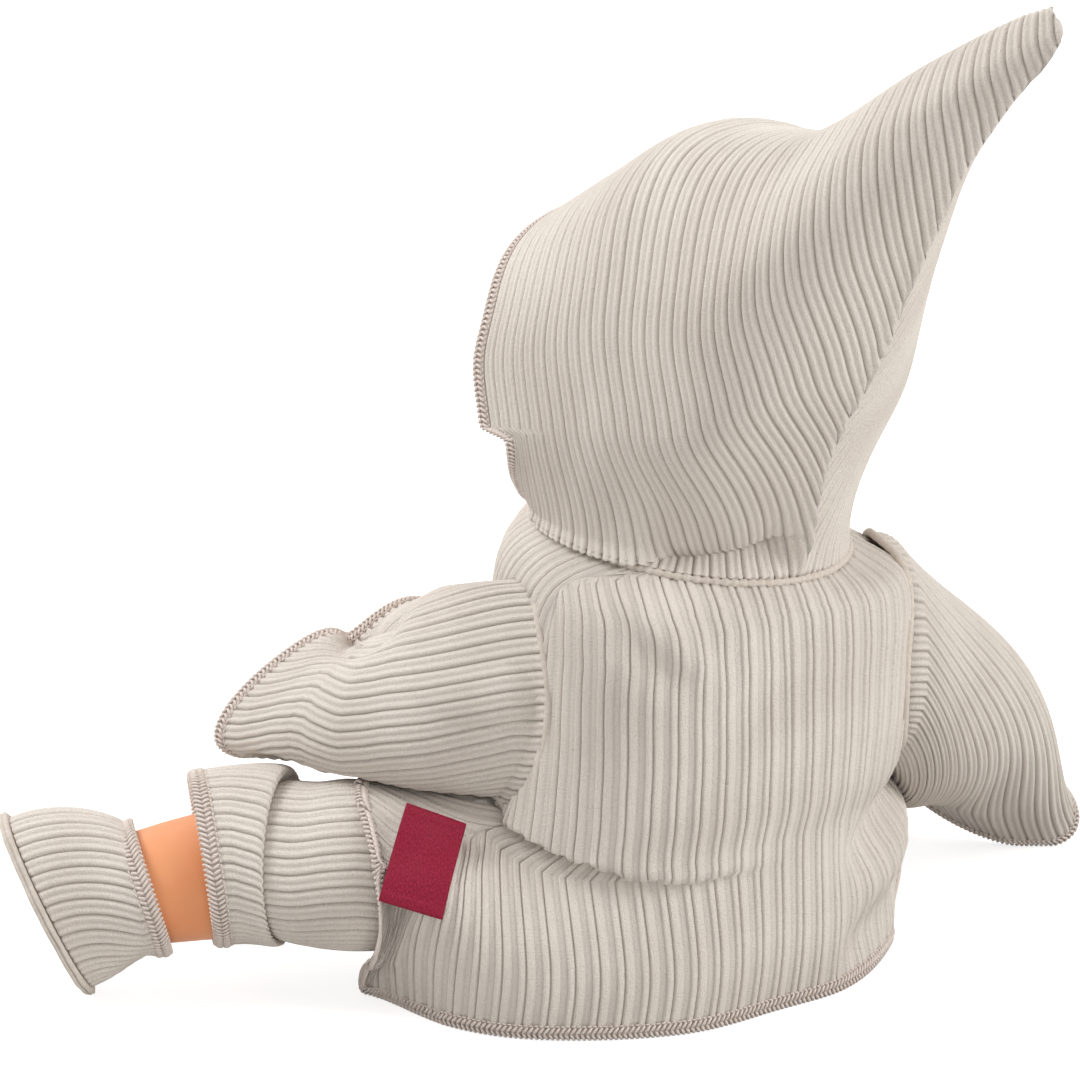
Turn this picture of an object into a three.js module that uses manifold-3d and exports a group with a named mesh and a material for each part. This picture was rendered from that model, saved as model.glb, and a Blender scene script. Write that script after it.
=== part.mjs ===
// Baby doll sitting on the floor in a hooded suit of ribbed knit.
// Millimetres, +Z up. The doll faces -Y and its own left side is +X.
// The origin is in the middle of the flat face that it sits on.
import * as THREE from 'three';
import { mergeVertices } from 'three/addons/utils/BufferGeometryUtils.js';
import Module from 'manifold-3d';

const wasm = await Module();
wasm.setup();

// Cloth, vinyl and the clearances between pieces
const clothThickness = 2;
const bodyClothThickness = 1.2;
const vinylWall = 3;
const seamGap = 0.3;
const layerGap = 0.35;
const floorLevel = 0.3;

// Stuffed body
const bodyWaistHalfWidth = 35.2;
const bodyChestHalfWidth = 44;
const bodyHalfDepth = 33;
const bodyChestHeight = 84;
const bodyShoulderHeight = 106;

// Hips and shoulders, where the limbs are sewn to the body
const hipHalfSpacing = 38;
const hipHeight = 31;
const hipForward = -5;
const hipSeamRadius = 13.5;
const shoulderHalfSpacing = 50;
const shoulderHeight = 86;
const leftShoulderForward = -3;
const rightShoulderForward = 15;
const shoulderSeamRadius = 12;

// Trouser seat and waistband
const seatHalfDepth = 35.6;
const seatHeight = 46;
const waistbandHeight = 6;

// Jacket
const hemBack = 42;
const hemLeft = 86;
const hemRight = 62;
const hemFront = 46;
const lapHemHeight = 24;
const skirtHalfWidth = 57;
const bulgeHalfWidth = 56;
const chestHalfWidth = 53;
const jacketHalfDepth = 43;
const foldHeight = 49;
const foldDepth = 4;
const necklineRadius = 40;
const armholeHalfHeight = 25;
const armholeHalfDepth = 19;
const armholeHeight = shoulderHeight - 1;
const frontOverlap = 7;
const sideSeamAngle = 98;
const leftSeamLine = [[0, 106], [0.19, 102.5], [0.32, 88.5], [0.46, 95], [0.7, 98], [1, 98]];
const stripThickness = 1;
const stripWidth = 12;
const stripBottom = 62;
const stripTop = 104;

// Woven side label
const labelWidth = 16.5;
const labelLength = 25;
const labelThickness = 0.8;

// Head and neck, as turned about the neck's axis
const headTurn = 10;
const headHalfWidth = 42.5;
const headHalfDepth = 43.5;
const headHalfHeight = 42;
const headForward = -3;
const neckRadius = 18;
const neckGrooveRadius = 16;
const neckFlangeRadius = 19;
const neckBottom = bodyShoulderHeight + 0.5;
const necklineHeight = neckBottom + 11.5;
const headCentreHeight = neckBottom + 64;
const neckFlangeHeight = 4;
const neckGrooveHeight = 4;
const collarThickness = 1.2;
const eyeRadius = 7;
const eyeHeight = headCentreHeight - 0.5;
const eyeAngle = 23;
const eyeSink = 5;
const tieThickness = 1.8;

// Hood
const hoodHalfWidth = 48.8;
const hoodFrontAngle = 50;
const hoodTipBack = 123;
const hoodTipHeight = headCentreHeight + 106.5;
const hoodBackEnd = 0.9;
const hoodRoundness = 2.6;

// Limbs
const upperArmRadius = 12;
const forearmRadius = 10;
const wristRadius = 8.5;
const upperArmLength = 32;
const wristDistance = 55;
const thighRadius = 16;
const kneeRadius = 17;
const ankleRadius = 14.5;
const thighLength = 44;
const spigotRadius = 8;
const spigotLength = 7;
const tieNeckRadius = 11.5;
const tieWidth = 2.4;
const handLength = 20;
const handHalfWidth = 9.5;
const handHalfThickness = 6.5;
const fingerRadius = 3;
const fingerLength = 9.5;

// Sleeves, trouser legs and booties
const leftCuffHalfWidth = 35;
const leftCuffHalfHeight = 14;
const rightCuffHalfWidth = 23;
const rightCuffHalfHeight = 15;
const sleeveWrinkle = 0.12;
const trouserRadius = 18.8;
const trouserHemRadius = 22;
const trouserHemLift = 2.5;
const trouserLength = 92;
const trouserSpacing = 9;
const footDrop = 21;
const footForward = 6.5;
const footHalfLength = 21.5;
const footHalfWidth = 12;
const bootieEase = 0.5;
const bootieBand = 5;
const soleThickness = 2.4;
const soleLip = 2;

const point = (x, y, z) => new THREE.Vector3(x, y, z);
const xAxis = point(1, 0, 0);
const zAxis = point(0, 0, 1);
const radians = THREE.MathUtils.degToRad;
const lerp = THREE.MathUtils.lerp;
const clamp = THREE.MathUtils.clamp;
const ease = (t) => THREE.MathUtils.smoothstep(t, 0, 1);

// Values that run smoothly through rows of [place, value, value, ...]
function along(rows, place) {
  const last = rows.length - 1;
  let k = 0;
  while (k < last - 1 && place > rows[k + 1][0]) k += 1;
  const span = rows[k + 1][0] - rows[k][0];
  const t = clamp((place - rows[k][0]) / span, 0, 1);
  const slope = (i, c) => {
    const a = rows[Math.max(i - 1, 0)];
    const b = rows[Math.min(i + 1, last)];
    return ((b[c] - a[c]) / (b[0] - a[0])) * span;
  };
  return rows[k].slice(1).map((from, index) => {
    const c = index + 1;
    const to = rows[k + 1][c];
    const [m, n] = [slope(k, c), slope(k + 1, c)];
    return from + t * (m + t * (3 * (to - from) - 2 * m - n + t * (2 * (from - to) + m + n)));
  });
}

// One closed mesh from points and triangles, turned so that its faces point out
function closedGeometry(points, faces) {
  let volume = 0;
  for (const [a, b, c] of faces) {
    volume += points[a].dot(points[b].clone().cross(points[c]));
  }
  const turned = volume < 0 ? faces.map(([a, b, c]) => [a, c, b]) : faces;
  const geometry = new THREE.BufferGeometry();
  geometry.setAttribute('position', new THREE.Float32BufferAttribute(points.flatMap((p) => p.toArray()), 3));
  geometry.setIndex(turned.flat());
  return geometry;
}

function centreOf(ring) {
  const sum = ring.reduce((total, p) => total.add(p), point(0, 0, 0));
  return sum.multiplyScalar(1 / ring.length);
}

// Skin over closed rings of equal count, capped at both ends or joined last to first
function loft(rings, joined = false) {
  const count = rings[0].length;
  const points = rings.flat();
  const faces = [];
  const pairs = joined ? rings.length : rings.length - 1;
  for (let k = 0; k < pairs; k += 1) {
    const next = (k + 1) % rings.length;
    for (let i = 0; i < count; i += 1) {
      const j = (i + 1) % count;
      const [a, b, c, d] = [k * count + i, k * count + j, next * count + j, next * count + i];
      faces.push([a, b, c], [a, c, d]);
    }
  }
  if (!joined) {
    const first = points.push(centreOf(rings[0])) - 1;
    const final = points.push(centreOf(rings.at(-1))) - 1;
    const start = (rings.length - 1) * count;
    for (let i = 0; i < count; i += 1) {
      const j = (i + 1) % count;
      faces.push([first, j, i], [final, start + i, start + j]);
    }
  }
  return closedGeometry(points, faces);
}

// Skin over rings that mirror left to right, closed at both ends by a seam down the middle
function seamedLoft(rings) {
  const count = rings[0].length;
  const points = rings.flat();
  const faces = [];
  for (let k = 0; k < rings.length - 1; k += 1) {
    for (let i = 0; i < count; i += 1) {
      const j = (i + 1) % count;
      const [a, b, c, d] = [k * count + i, k * count + j, (k + 1) * count + j, (k + 1) * count + i];
      faces.push([a, b, c], [a, c, d]);
    }
  }
  const start = (rings.length - 1) * count;
  for (let i = 0; i < (count - 1) / 2; i += 1) {
    const [a, b, c, d] = [i, i + 1, count - 2 - i, count - 1 - i];
    faces.push([a, d, b], [start + a, start + b, start + d]);
    if (b !== c) faces.push([b, d, c], [start + b, start + c, start + d]);
  }
  return closedGeometry(points, faces);
}

// Open-ended wall between an outer and an inner set of rings
const sleeveWall = (outer, inner) => loft([...outer, ...inner.toReversed()], true);

// Wall that is open at the first ring and closed at the last
const cupWall = (outer, inner) => loft([...outer.toReversed(), ...inner]);

// Sheet of even thickness laid over surface(u, v), from one depth under it to another
function sheet(surface, [u0, u1, across], [v0, v1, up], depth, thickness, settle = () => {}) {
  const step = 0.002;
  const at = (u, v, d) => {
    const du = surface(u + step * (u1 - u0), v).sub(surface(u - step * (u1 - u0), v));
    const dv = surface(u, Math.min(v + step, v1)).sub(surface(u, Math.max(v - step, v0)));
    const place = surface(u, v).addScaledVector(du.cross(dv).normalize(), -d);
    settle(place);
    place.z = Math.max(place.z, floorLevel);
    return place;
  };
  const points = [];
  for (const d of [depth, depth + thickness]) {
    for (let j = 0; j <= up; j += 1) {
      for (let i = 0; i <= across; i += 1) {
        points.push(at(lerp(u0, u1, i / across), lerp(v0, v1, j / up), d));
      }
    }
  }
  const row = across + 1;
  const layer = row * (up + 1);
  const faces = [];
  for (let j = 0; j < up; j += 1) {
    for (let i = 0; i < across; i += 1) {
      const [a, b, c, d] = [j * row + i, j * row + i + 1, (j + 1) * row + i + 1, (j + 1) * row + i];
      faces.push([a, b, c], [a, c, d], [layer + a, layer + c, layer + b], [layer + a, layer + d, layer + c]);
    }
  }
  const rim = [];
  for (let i = 0; i < across; i += 1) rim.push(i);
  for (let j = 0; j < up; j += 1) rim.push(j * row + across);
  for (let i = across; i > 0; i -= 1) rim.push(up * row + i);
  for (let j = up; j > 0; j -= 1) rim.push(j * row);
  rim.forEach((a, k) => {
    const b = rim[(k + 1) % rim.length];
    faces.push([a, layer + a, layer + b], [a, layer + b, b]);
  });
  return closedGeometry(points, faces);
}

// Joins and cuts
function solidOf(geometry) {
  const bare = geometry.clone();
  bare.deleteAttribute('normal');
  bare.deleteAttribute('uv');
  const merged = mergeVertices(bare, 1e-4);
  return new wasm.Manifold(new wasm.Mesh({
    numProp: 3,
    vertProperties: new Float32Array(merged.attributes.position.array),
    triVerts: new Uint32Array(merged.index.array),
  }));
}

function geometryOf(solid) {
  const mesh = solid.getMesh();
  const geometry = new THREE.BufferGeometry();
  geometry.setAttribute('position', new THREE.Float32BufferAttribute(mesh.vertProperties, 3));
  geometry.setIndex(Array.from(mesh.triVerts));
  return geometry;
}

const cut = (from, ...tools) => geometryOf(tools.reduce((s, t) => s.subtract(solidOf(t)), solidOf(from)));
const join = (first, ...more) => geometryOf(more.reduce((s, t) => s.add(solidOf(t)), solidOf(first)));

// Rounded-box ring at one height
function bodyRing(count, centre, halfWidth, halfDepth, roundness = 2) {
  return Array.from({ length: count }, (_, i) => {
    const angle = (2 * Math.PI * i) / count;
    const [s, c] = [Math.sin(angle), Math.cos(angle)];
    return point(
      centre.x + halfWidth * Math.sign(s) * Math.abs(s) ** (2 / roundness),
      centre.y - halfDepth * Math.sign(c) * Math.abs(c) ** (2 / roundness),
      centre.z,
    );
  });
}

// Solid turned about the neck's axis from a closed profile of [radius, height]
function turned(profile, sides = 20) {
  const outline = profile.map(([r, z]) => new THREE.Vector2(r, z));
  if (THREE.ShapeUtils.isClockWise(outline)) outline.reverse();
  return new THREE.LatheGeometry([...outline, outline[0]], sides).rotateX(Math.PI / 2);
}

// Round bar or elliptic bar along X, for seams and armholes
function barAlongX(from, to, y, z, halfDepth, halfHeight, sides = 24) {
  const bar = new THREE.CylinderGeometry(1, 1, Math.abs(to - from), sides);
  bar.rotateZ(Math.PI / 2).scale(1, halfDepth, halfHeight);
  return bar.translate((from + to) / 2, y, z);
}

// A limb follows a curve that starts square to the body
class Limb {
  constructor(places, toward, outward) {
    this.curve = new THREE.CatmullRomCurve3(places.map((p) => point(...p)));
    this.length = this.curve.getLength();
    this.toward = toward;
    this.outward = outward;
  }

  frame(s) {
    const t = clamp(s / this.length, 0, 1);
    const tangent = this.curve.getTangentAt(t);
    const centre = this.curve.getPointAt(t).addScaledVector(tangent, s - t * this.length);
    const turn = ease(s / (0.4 * this.length));
    const axis = this.outward.clone().lerp(tangent, turn).normalize();
    const up = this.toward.clone().addScaledVector(axis, -this.toward.dot(axis)).normalize();
    return { centre, axis, up, side: axis.clone().cross(up) };
  }

  ring(s, upward, across = upward, lift = 0, count = 16) {
    const { centre, up, side } = this.frame(s);
    const middle = centre.clone().addScaledVector(up, lift);
    return Array.from({ length: count }, (_, i) => {
      const angle = (2 * Math.PI * i) / count;
      return middle.clone()
        .addScaledVector(up, upward * Math.cos(angle))
        .addScaledVector(side, across * Math.sin(angle));
    });
  }

  rings(rows, grow = 0) {
    return rows.map(([s, upward, across = upward, lift = 0]) => (
      this.ring(s, upward + grow, across + grow, lift)
    ));
  }

  // Rows of four values, sampled evenly so that nested pieces bend alike
  evenRings(rows, grow = 0, spacing = 7) {
    const [from, to] = [rows[0][0], rows.at(-1)[0]];
    const steps = Math.ceil((to - from) / spacing);
    return Array.from({ length: steps + 1 }, (_, k) => {
      const s = lerp(from, to, k / steps);
      const [upward, across, lift] = along(rows, s);
      return this.ring(s, upward + grow, across + grow, lift);
    });
  }
}

// Legs. The toes point along one direction and the soles face another.
const leftToes = point(0.3, -0.5, 0.81).normalize();
const leftSoles = point(0.84, -0.35, -0.42).normalize();
const rightToes = point(-0.12, -0.33, 0.94).normalize();
const rightSoles = point(-0.08, -0.94, -0.34).normalize();
const leftLeg = new Limb([
  [hipHalfSpacing + seamGap, hipForward, hipHeight],
  [60, hipForward - 5, hipHeight + 1],
  [84, hipForward - 18, hipHeight + 1],
  [106, hipForward - 41, hipHeight],
  [128.5, -67.5, 27.5],
], leftToes, xAxis);
const rightLeg = new Limb([
  [-hipHalfSpacing - seamGap, hipForward, hipHeight],
  [-47, hipForward - 16, hipHeight],
  [-54, hipForward - 38, hipHeight],
  [-58, -76, 29],
  [-59, -109, 27],
], rightToes, xAxis.clone().negate());

// Trouser legs: [distance along the leg, half-width up, half-width across, lift]
const trouserRows = [
  [0, trouserRadius - 0.2, trouserRadius - 0.2, 0],
  [10, trouserRadius, trouserRadius, 0],
  [trouserLength * 0.4, trouserRadius, trouserRadius, 0],
  [trouserLength * 0.6, trouserRadius + 1.6, trouserRadius + 1, 0.8],
  [trouserLength * 0.7, trouserRadius + 0.8, trouserRadius + 0.8, 0.6],
  [trouserLength * 0.84, trouserHemRadius, trouserHemRadius - 1, trouserHemLift],
  [trouserLength, trouserHemRadius, trouserHemRadius - 1.5, trouserHemLift],
];

// Cloth that would sink into a limb is moved straight out of it
function spheresAlong(limb, rows) {
  const count = 60;
  const [from, to] = [rows[0][0], rows.at(-1)[0]];
  return Array.from({ length: count }, (_, k) => {
    const s = lerp(from, to, k / (count - 1));
    const [radius, lift] = along(rows, s);
    const { centre, up } = limb.frame(s);
    return { centre: centre.addScaledVector(up, lift), radius };
  });
}

function clearOf(spheres, clearance, place) {
  let [worst, nearest] = [0, null];
  for (const ball of spheres) {
    const depth = ball.radius + clearance - ball.centre.distanceTo(place);
    if (depth > worst) [worst, nearest] = [depth, ball];
  }
  if (!nearest) return;
  const away = place.clone().sub(nearest.centre).normalize();
  place.copy(nearest.centre).addScaledVector(away, nearest.radius + clearance);
}

const trouserSpheres = [leftLeg, rightLeg].flatMap((leg) => (
  spheresAlong(leg, trouserRows.map(([s, upward, , lift]) => [s, upward, lift]))
));
const tentClearance = clothThickness + 2;

// Key shapes of the clothed body, front to back and bottom to top
const bodyBottom = clothThickness + layerGap;
const bodyTop = neckBottom - layerGap;
const waistHeight = seatHeight + waistbandHeight / 2;

function bodyRows(inset) {
  const depth = bodyHalfDepth - inset;
  return [
    [bodyBottom + inset, bodyWaistHalfWidth - 14 - inset, depth - 13, 0],
    [bodyBottom + inset + 6, bodyWaistHalfWidth - 4 - inset, depth - 3.5, 0],
    [bodyBottom + inset + 20, bodyWaistHalfWidth - inset, depth, 0],
    [seatHeight + waistbandHeight + 1, bodyWaistHalfWidth - inset, depth - 1, 0],
    [lerp(waistHeight, bodyChestHeight, 0.5), bodyChestHalfWidth - 3 - inset, depth, 2],
    [bodyChestHeight, bodyChestHalfWidth - inset, depth, 3],
    [lerp(bodyChestHeight, bodyShoulderHeight, 0.6), bodyChestHalfWidth - 2 - inset, depth - 4, 3],
    [bodyShoulderHeight - 4 - inset, bodyChestHalfWidth - 12 - inset, depth - 12, 1],
    [bodyShoulderHeight - inset, neckFlangeRadius + 2 - inset, neckFlangeRadius + 2 - inset, 0],
  ];
}

function bodyForm(inset) {
  return loft(bodyRows(inset).map(([z, halfWidth, halfDepth, y]) => (
    bodyRing(20, point(0, y, z), halfWidth, halfDepth, 2.3)
  )));
}

function seamStub(sign, reach, y, z, radius) {
  return barAlongX(sign * (reach - 16), sign * reach, y, z, radius, radius, 14);
}

// Neck fittings: the head's flange sits in a cloth collar that a cord ties into its groove
const collarBottom = neckBottom - 3;
const flangeTop = neckBottom + neckFlangeHeight;
const grooveTop = flangeTop + neckGrooveHeight;
const collarBore = neckGrooveRadius + seamGap;
const collarWaist = collarBore + collarThickness;
const collarSocket = neckFlangeRadius + seamGap;

function bodyCover() {
  const collar = turned([
    [collarSocket, collarBottom],
    [collarSocket, flangeTop + seamGap],
    [collarBore, flangeTop + seamGap],
    [collarBore, grooveTop - seamGap],
    [collarWaist, grooveTop - seamGap],
    [collarWaist, flangeTop + seamGap + collarThickness],
    [collarSocket + collarThickness, flangeTop + seamGap],
    [collarSocket + collarThickness, collarBottom],
  ]);
  const stubs = [
    seamStub(1, hipHalfSpacing, hipForward, hipHeight, hipSeamRadius),
    seamStub(-1, hipHalfSpacing, hipForward, hipHeight, hipSeamRadius),
    seamStub(1, shoulderHalfSpacing, leftShoulderForward, shoulderHeight, shoulderSeamRadius),
    seamStub(-1, shoulderHalfSpacing, rightShoulderForward, shoulderHeight, shoulderSeamRadius),
  ];
  const hole = collarSocket + 0.7 * collarThickness;
  const mouth = turned([[0, bodyTop - 8], [hole, bodyTop - 8], [hole, grooveTop], [0, grooveTop]]);
  return join(cut(join(bodyForm(0), ...stubs), bodyForm(bodyClothThickness), mouth), collar);
}

// The filling stops below the collar's edge and rises inside it to just under the flange
function bodyFilling() {
  const inside = collarSocket - layerGap;
  const below = collarBottom - layerGap;
  return cut(
    bodyForm(bodyClothThickness + layerGap),
    turned([[0, bodyTop], [inside + 1, bodyTop], [inside + 1, grooveTop], [0, grooveTop]]),
    turned([[inside, below], [60, below], [60, grooveTop], [inside, grooveTop]]),
  );
}

function neckTie() {
  const middle = flangeTop + seamGap + collarThickness + seamGap;
  const inner = collarWaist + seamGap;
  return turned([
    [inner, middle],
    [inner + tieThickness, middle + 0.4],
    [inner + tieThickness, middle + 1.4],
    [inner, grooveTop - seamGap],
  ]);
}

// Trouser seat: a cup of cloth, cut flat where it rests, with a hole for each hip
function seatRings(inset) {
  const halfWidth = hipHalfSpacing - inset;
  const halfDepth = seatHalfDepth - inset;
  const rows = [
    [seatHeight, halfWidth, halfDepth],
    [seatHeight * 0.55, halfWidth, halfDepth + 1],
    [16, halfWidth, halfDepth],
    [7 + inset, halfWidth - 3, halfDepth - 3],
    [inset, halfWidth - 12, halfDepth - 12],
  ];
  return rows.map(([z, a, b]) => bodyRing(20, point(0, 0, z), a, b, 2.4));
}

function trouserSeat() {
  const hole = barAlongX(-60, 60, hipForward, hipHeight, hipSeamRadius + layerGap, hipSeamRadius + layerGap, 14);
  return cut(cupWall(seatRings(0), seatRings(clothThickness)), hole);
}

function waistband() {
  const bottom = seatHeight + seamGap;
  const band = (inset) => [bottom, bottom + waistbandHeight].map((z) => (
    bodyRing(20, point(0, 0, z), bodyWaistHalfWidth + 2.4 - inset, bodyHalfDepth + 2.4 - inset, 2.3)
  ));
  return sleeveWall(band(0), band(1.8));
}

// Jacket surface. Angle 0 is the front, 90 the doll's left; height runs 0 at the hem to 1 at the neckline.
// The hem lies on the floor behind, climbs over each thigh and hangs into the lap.
const thighTop = hipHeight + trouserRadius + clothThickness + 2 * layerGap;
const hemLine = [
  [-180, 0, hemBack, floorLevel],
  [-150, -0.42 * hemRight, hemBack - 2, floorLevel],
  [-125, -0.8 * hemRight, 0.62 * hemBack, floorLevel],
  [-105, -hemRight, 9, floorLevel],
  [-90, -hemRight - 12, -9, 0.2 * thighTop],
  [-78, -hemRight - 15, -28, 0.55 * thighTop],
  [-66, -hemRight - 10, -43, 0.88 * thighTop],
  [-52, -hemRight + 6, -50, thighTop],
  [-38, -hemFront + 3, -hemFront - 4, 0.88 * thighTop],
  [-20, -0.4 * hemFront, -hemFront - 1, lapHemHeight + 4],
  [0, 3, -hemFront, lapHemHeight],
  [25, 0.6 * hemFront, -hemFront, lapHemHeight + 8],
  [45, hemFront + 6, -hemFront - 1, 0.88 * thighTop],
  [60, hemLeft - 16, -hemFront + 2, thighTop],
  [74, hemLeft, -24, thighTop + 1],
  [84, hemLeft + 5, -6, 0.86 * thighTop],
  [92, hemLeft + 5, -3, 0.5 * thighTop],
  [100, hemLeft, -22, floorLevel],
  [112, hemLeft - 10, 7, floorLevel],
  [130, 0.68 * hemLeft, 0.62 * hemBack, floorLevel],
  [155, 0.32 * hemLeft, hemBack - 1, floorLevel],
];
const skirtLine = [
  [-180, 0, hemBack + 3, 0.38 * thighTop],
  [-150, -0.42 * hemRight, hemBack, 0.38 * thighTop],
  [-125, -0.8 * hemRight, 0.7 * hemBack, 0.38 * thighTop],
  [-105, -hemRight, 12, 0.4 * thighTop],
  [-90, -hemRight - 5, 0, 0.5 * thighTop],
  [-78, -hemRight - 5, -15, 0.75 * thighTop],
  [-66, -hemRight, -31, thighTop],
  [-52, -hemFront - 4, -39, thighTop + 1],
  [-38, -hemFront + 6, -hemFront + 2, 0.95 * thighTop],
  [-20, -0.4 * hemFront, -hemFront - 1, 0.72 * thighTop],
  [0, 3, -hemFront, 0.65 * thighTop],
  [25, 0.6 * hemFront, -hemFront, 0.72 * thighTop],
  [45, hemFront + 1, -hemFront + 4, 0.95 * thighTop],
  [60, hemLeft - 22, -30, thighTop + 2],
  [74, hemLeft - 12, -14, thighTop + 2],
  [84, hemLeft - 6, -1, 0.97 * thighTop],
  [92, hemLeft - 4, 7, 0.86 * thighTop],
  [100, hemLeft - 4, 11, 0.7 * thighTop],
  [112, hemLeft - 13, 19, 0.5 * thighTop],
  [130, 0.68 * hemLeft, 0.7 * hemBack, 0.4 * thighTop],
  [155, 0.32 * hemLeft, hemBack + 2, 0.38 * thighTop],
];

// Values that run smoothly right round a loop of [angle, value, value, ...]
function around(rows, angle) {
  const wrapped = ((((angle + 180) % 360) + 360) % 360) - 180;
  const shifted = (row, by) => [row[0] + by, ...row.slice(1)];
  const loop = [shifted(rows.at(-1), -360), ...rows, shifted(rows[0], 360), shifted(rows[1], 360)];
  return along(loop, wrapped);
}

const jacketRows = [
  [0.4, foldHeight, skirtHalfWidth, jacketHalfDepth + 1, 0, 2.1],
  [0.52, foldHeight + 12, bulgeHalfWidth, jacketHalfDepth + 2, 2, 2.2],
  [0.7, armholeHeight, chestHalfWidth, jacketHalfDepth, 4, 2.6],
  [0.88, necklineHeight - 9, shoulderHalfSpacing, jacketHalfDepth - 2, 4, 2.9],
  [1, necklineHeight, necklineRadius, necklineRadius, 0, 2],
];

function upperJacket(angle, up) {
  const [z, halfWidth, halfDepth, shift, roundness] = along(jacketRows, up);
  const [s, c] = [Math.sin(radians(angle)), Math.cos(radians(angle))];
  return point(
    halfWidth * Math.sign(s) * Math.abs(s) ** (2 / roundness),
    shift - halfDepth * Math.sign(c) * Math.abs(c) ** (2 / roundness),
    z,
  );
}

function jacketSurface(angle, up) {
  const waist = jacketRows[0][0];
  let place;
  if (up >= waist) {
    place = upperJacket(angle, up);
  } else {
    const line = [
      [0, ...around(hemLine, angle)],
      [waist / 2, ...around(skirtLine, angle)],
      [waist, ...upperJacket(angle, waist).toArray()],
      [waist + 0.1, ...upperJacket(angle, waist + 0.1).toArray()],
    ];
    place = point(...along(line, up));
  }
  const turn = ((angle % 360) + 360) % 360;
  const behind = ease((turn - 90) / 12) * (1 - ease((turn - 165) / 50));
  const foldAt = lerp(0.55, 0.43, ease((turn - 100) / 65));
  const overhang = Math.exp(-(((up - foldAt - 0.05) / 0.05) ** 2)) - 0.7 * Math.exp(-(((up - foldAt + 0.04) / 0.04) ** 2));
  const swell = 1 + (foldDepth * behind * overhang) / Math.hypot(place.x, place.y);
  place.x *= swell;
  place.y *= swell;
  clearOf(trouserSpheres, tentClearance, place);
  place.z = Math.max(place.z, floorLevel);
  return place;
}

// How far out the jacket's side lies at a place beside the body
function jacketReach(y, z) {
  let [low, high] = [jacketRows[0][0], 1];
  for (let k = 0; k < 16; k += 1) {
    const middle = (low + high) / 2;
    if (along(jacketRows, middle)[0] < z) low = middle;
    else high = middle;
  }
  const [, halfWidth, halfDepth, shift, roundness] = along(jacketRows, low);
  const away = Math.min(Math.abs(y - shift) / halfDepth, 1);
  return halfWidth * (1 - away ** roundness) ** (1 / roundness);
}

function armholeCuts(clearance = 0) {
  const [depth, height] = [armholeHalfDepth + clearance, armholeHalfHeight + clearance];
  return [
    barAlongX(shoulderHalfSpacing - 24, shoulderHalfSpacing + 30, leftShoulderForward, armholeHeight, depth, height),
    barAlongX(-shoulderHalfSpacing + 24, -shoulderHalfSpacing - 30, rightShoulderForward, armholeHeight, depth, height),
  ];
}

const seamAngleGap = 0.6;
const hemAngleGap = 0.4;
const hangOver = (place) => clearOf(trouserSpheres, 1.4, place);

const legRoom = (limb) => loft(limb.evenRings(trouserRows, seamGap, trouserSpacing));
const leftSeamAt = (up) => along(leftSeamLine, up)[0];

// The gap at a side seam opens a little towards the hem
const seamGapAt = (up) => lerp(hemAngleGap, seamAngleGap, ease(up / 0.4));

function panel(surface, from, to, across, up) {
  const at = (u, v) => surface(lerp(from(v), to(v), u), v);
  return sheet(at, [0, 1, across], [0, 1, up], 0, clothThickness, hangOver);
}

function jacketBack() {
  const from = (v) => leftSeamAt(v) + seamGapAt(v);
  const to = (v) => 360 - sideSeamAngle - seamGapAt(v);
  return cut(panel(jacketSurface, from, to, 22, 12), ...armholeCuts(), legRoom(leftLeg), jacketFrontLeft());
}

function jacketFrontLeft() {
  const from = () => -frontOverlap;
  const to = (v) => leftSeamAt(v) - seamGapAt(v);
  return cut(panel(jacketSurface, from, to, 15, 11), armholeCuts()[0], legRoom(leftLeg));
}

// The right front tucks under the left, one strip of hooks and one of loops deep
const underlapDepth = clothThickness + 2 * stripThickness + 3 * layerGap;

function tuckedSurface(angle, up) {
  const step = 0.2;
  const place = jacketSurface(angle, up);
  const du = jacketSurface(angle + step, up).sub(jacketSurface(angle - step, up));
  const dv = jacketSurface(angle, Math.min(up + 0.002, 1)).sub(jacketSurface(angle, Math.max(up - 0.002, 0)));
  const tuck = ease((angle + frontOverlap + 13) / 12);
  return place.addScaledVector(du.cross(dv).normalize(), -underlapDepth * tuck);
}

function jacketFrontRight() {
  const from = (v) => -sideSeamAngle + seamGapAt(v);
  const to = () => frontOverlap;
  return cut(panel(tuckedSurface, from, to, 15, 11), armholeCuts()[1], legRoom(rightLeg));
}

// Hook and loop strips between the two fronts
function closureStrip(depth) {
  const spread = THREE.MathUtils.radToDeg(stripWidth / 2 / jacketHalfDepth) * 0.7;
  const heightToUp = (z) => {
    let [low, high] = [0.3, 1];
    for (let k = 0; k < 30; k += 1) {
      const middle = (low + high) / 2;
      if (jacketSurface(0, middle).z < z) low = middle;
      else high = middle;
    }
    return low;
  };
  return sheet(jacketSurface, [-spread, spread, 3], [heightToUp(stripBottom), heightToUp(stripTop), 5], depth, stripThickness);
}

// Woven label, sewn by one edge into the left side seam. Corners as [angle, height] on the jacket.
const labelCorners = [[87, 0.315], [101.5, 0.19], [88.5, 0.005], [75.5, 0.17]];

function sideLabel() {
  const [top, bottom, farBottom, farTop] = labelCorners;
  const at = (u, v) => {
    const mix = (c) => lerp(lerp(top[c], bottom[c], v), lerp(farTop[c], farBottom[c], v), u);
    return jacketSurface(mix(0), mix(1));
  };
  return sheet(at, [0, 1, 4], [0, 1, 6], -labelThickness - 1.2, labelThickness);
}

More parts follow.
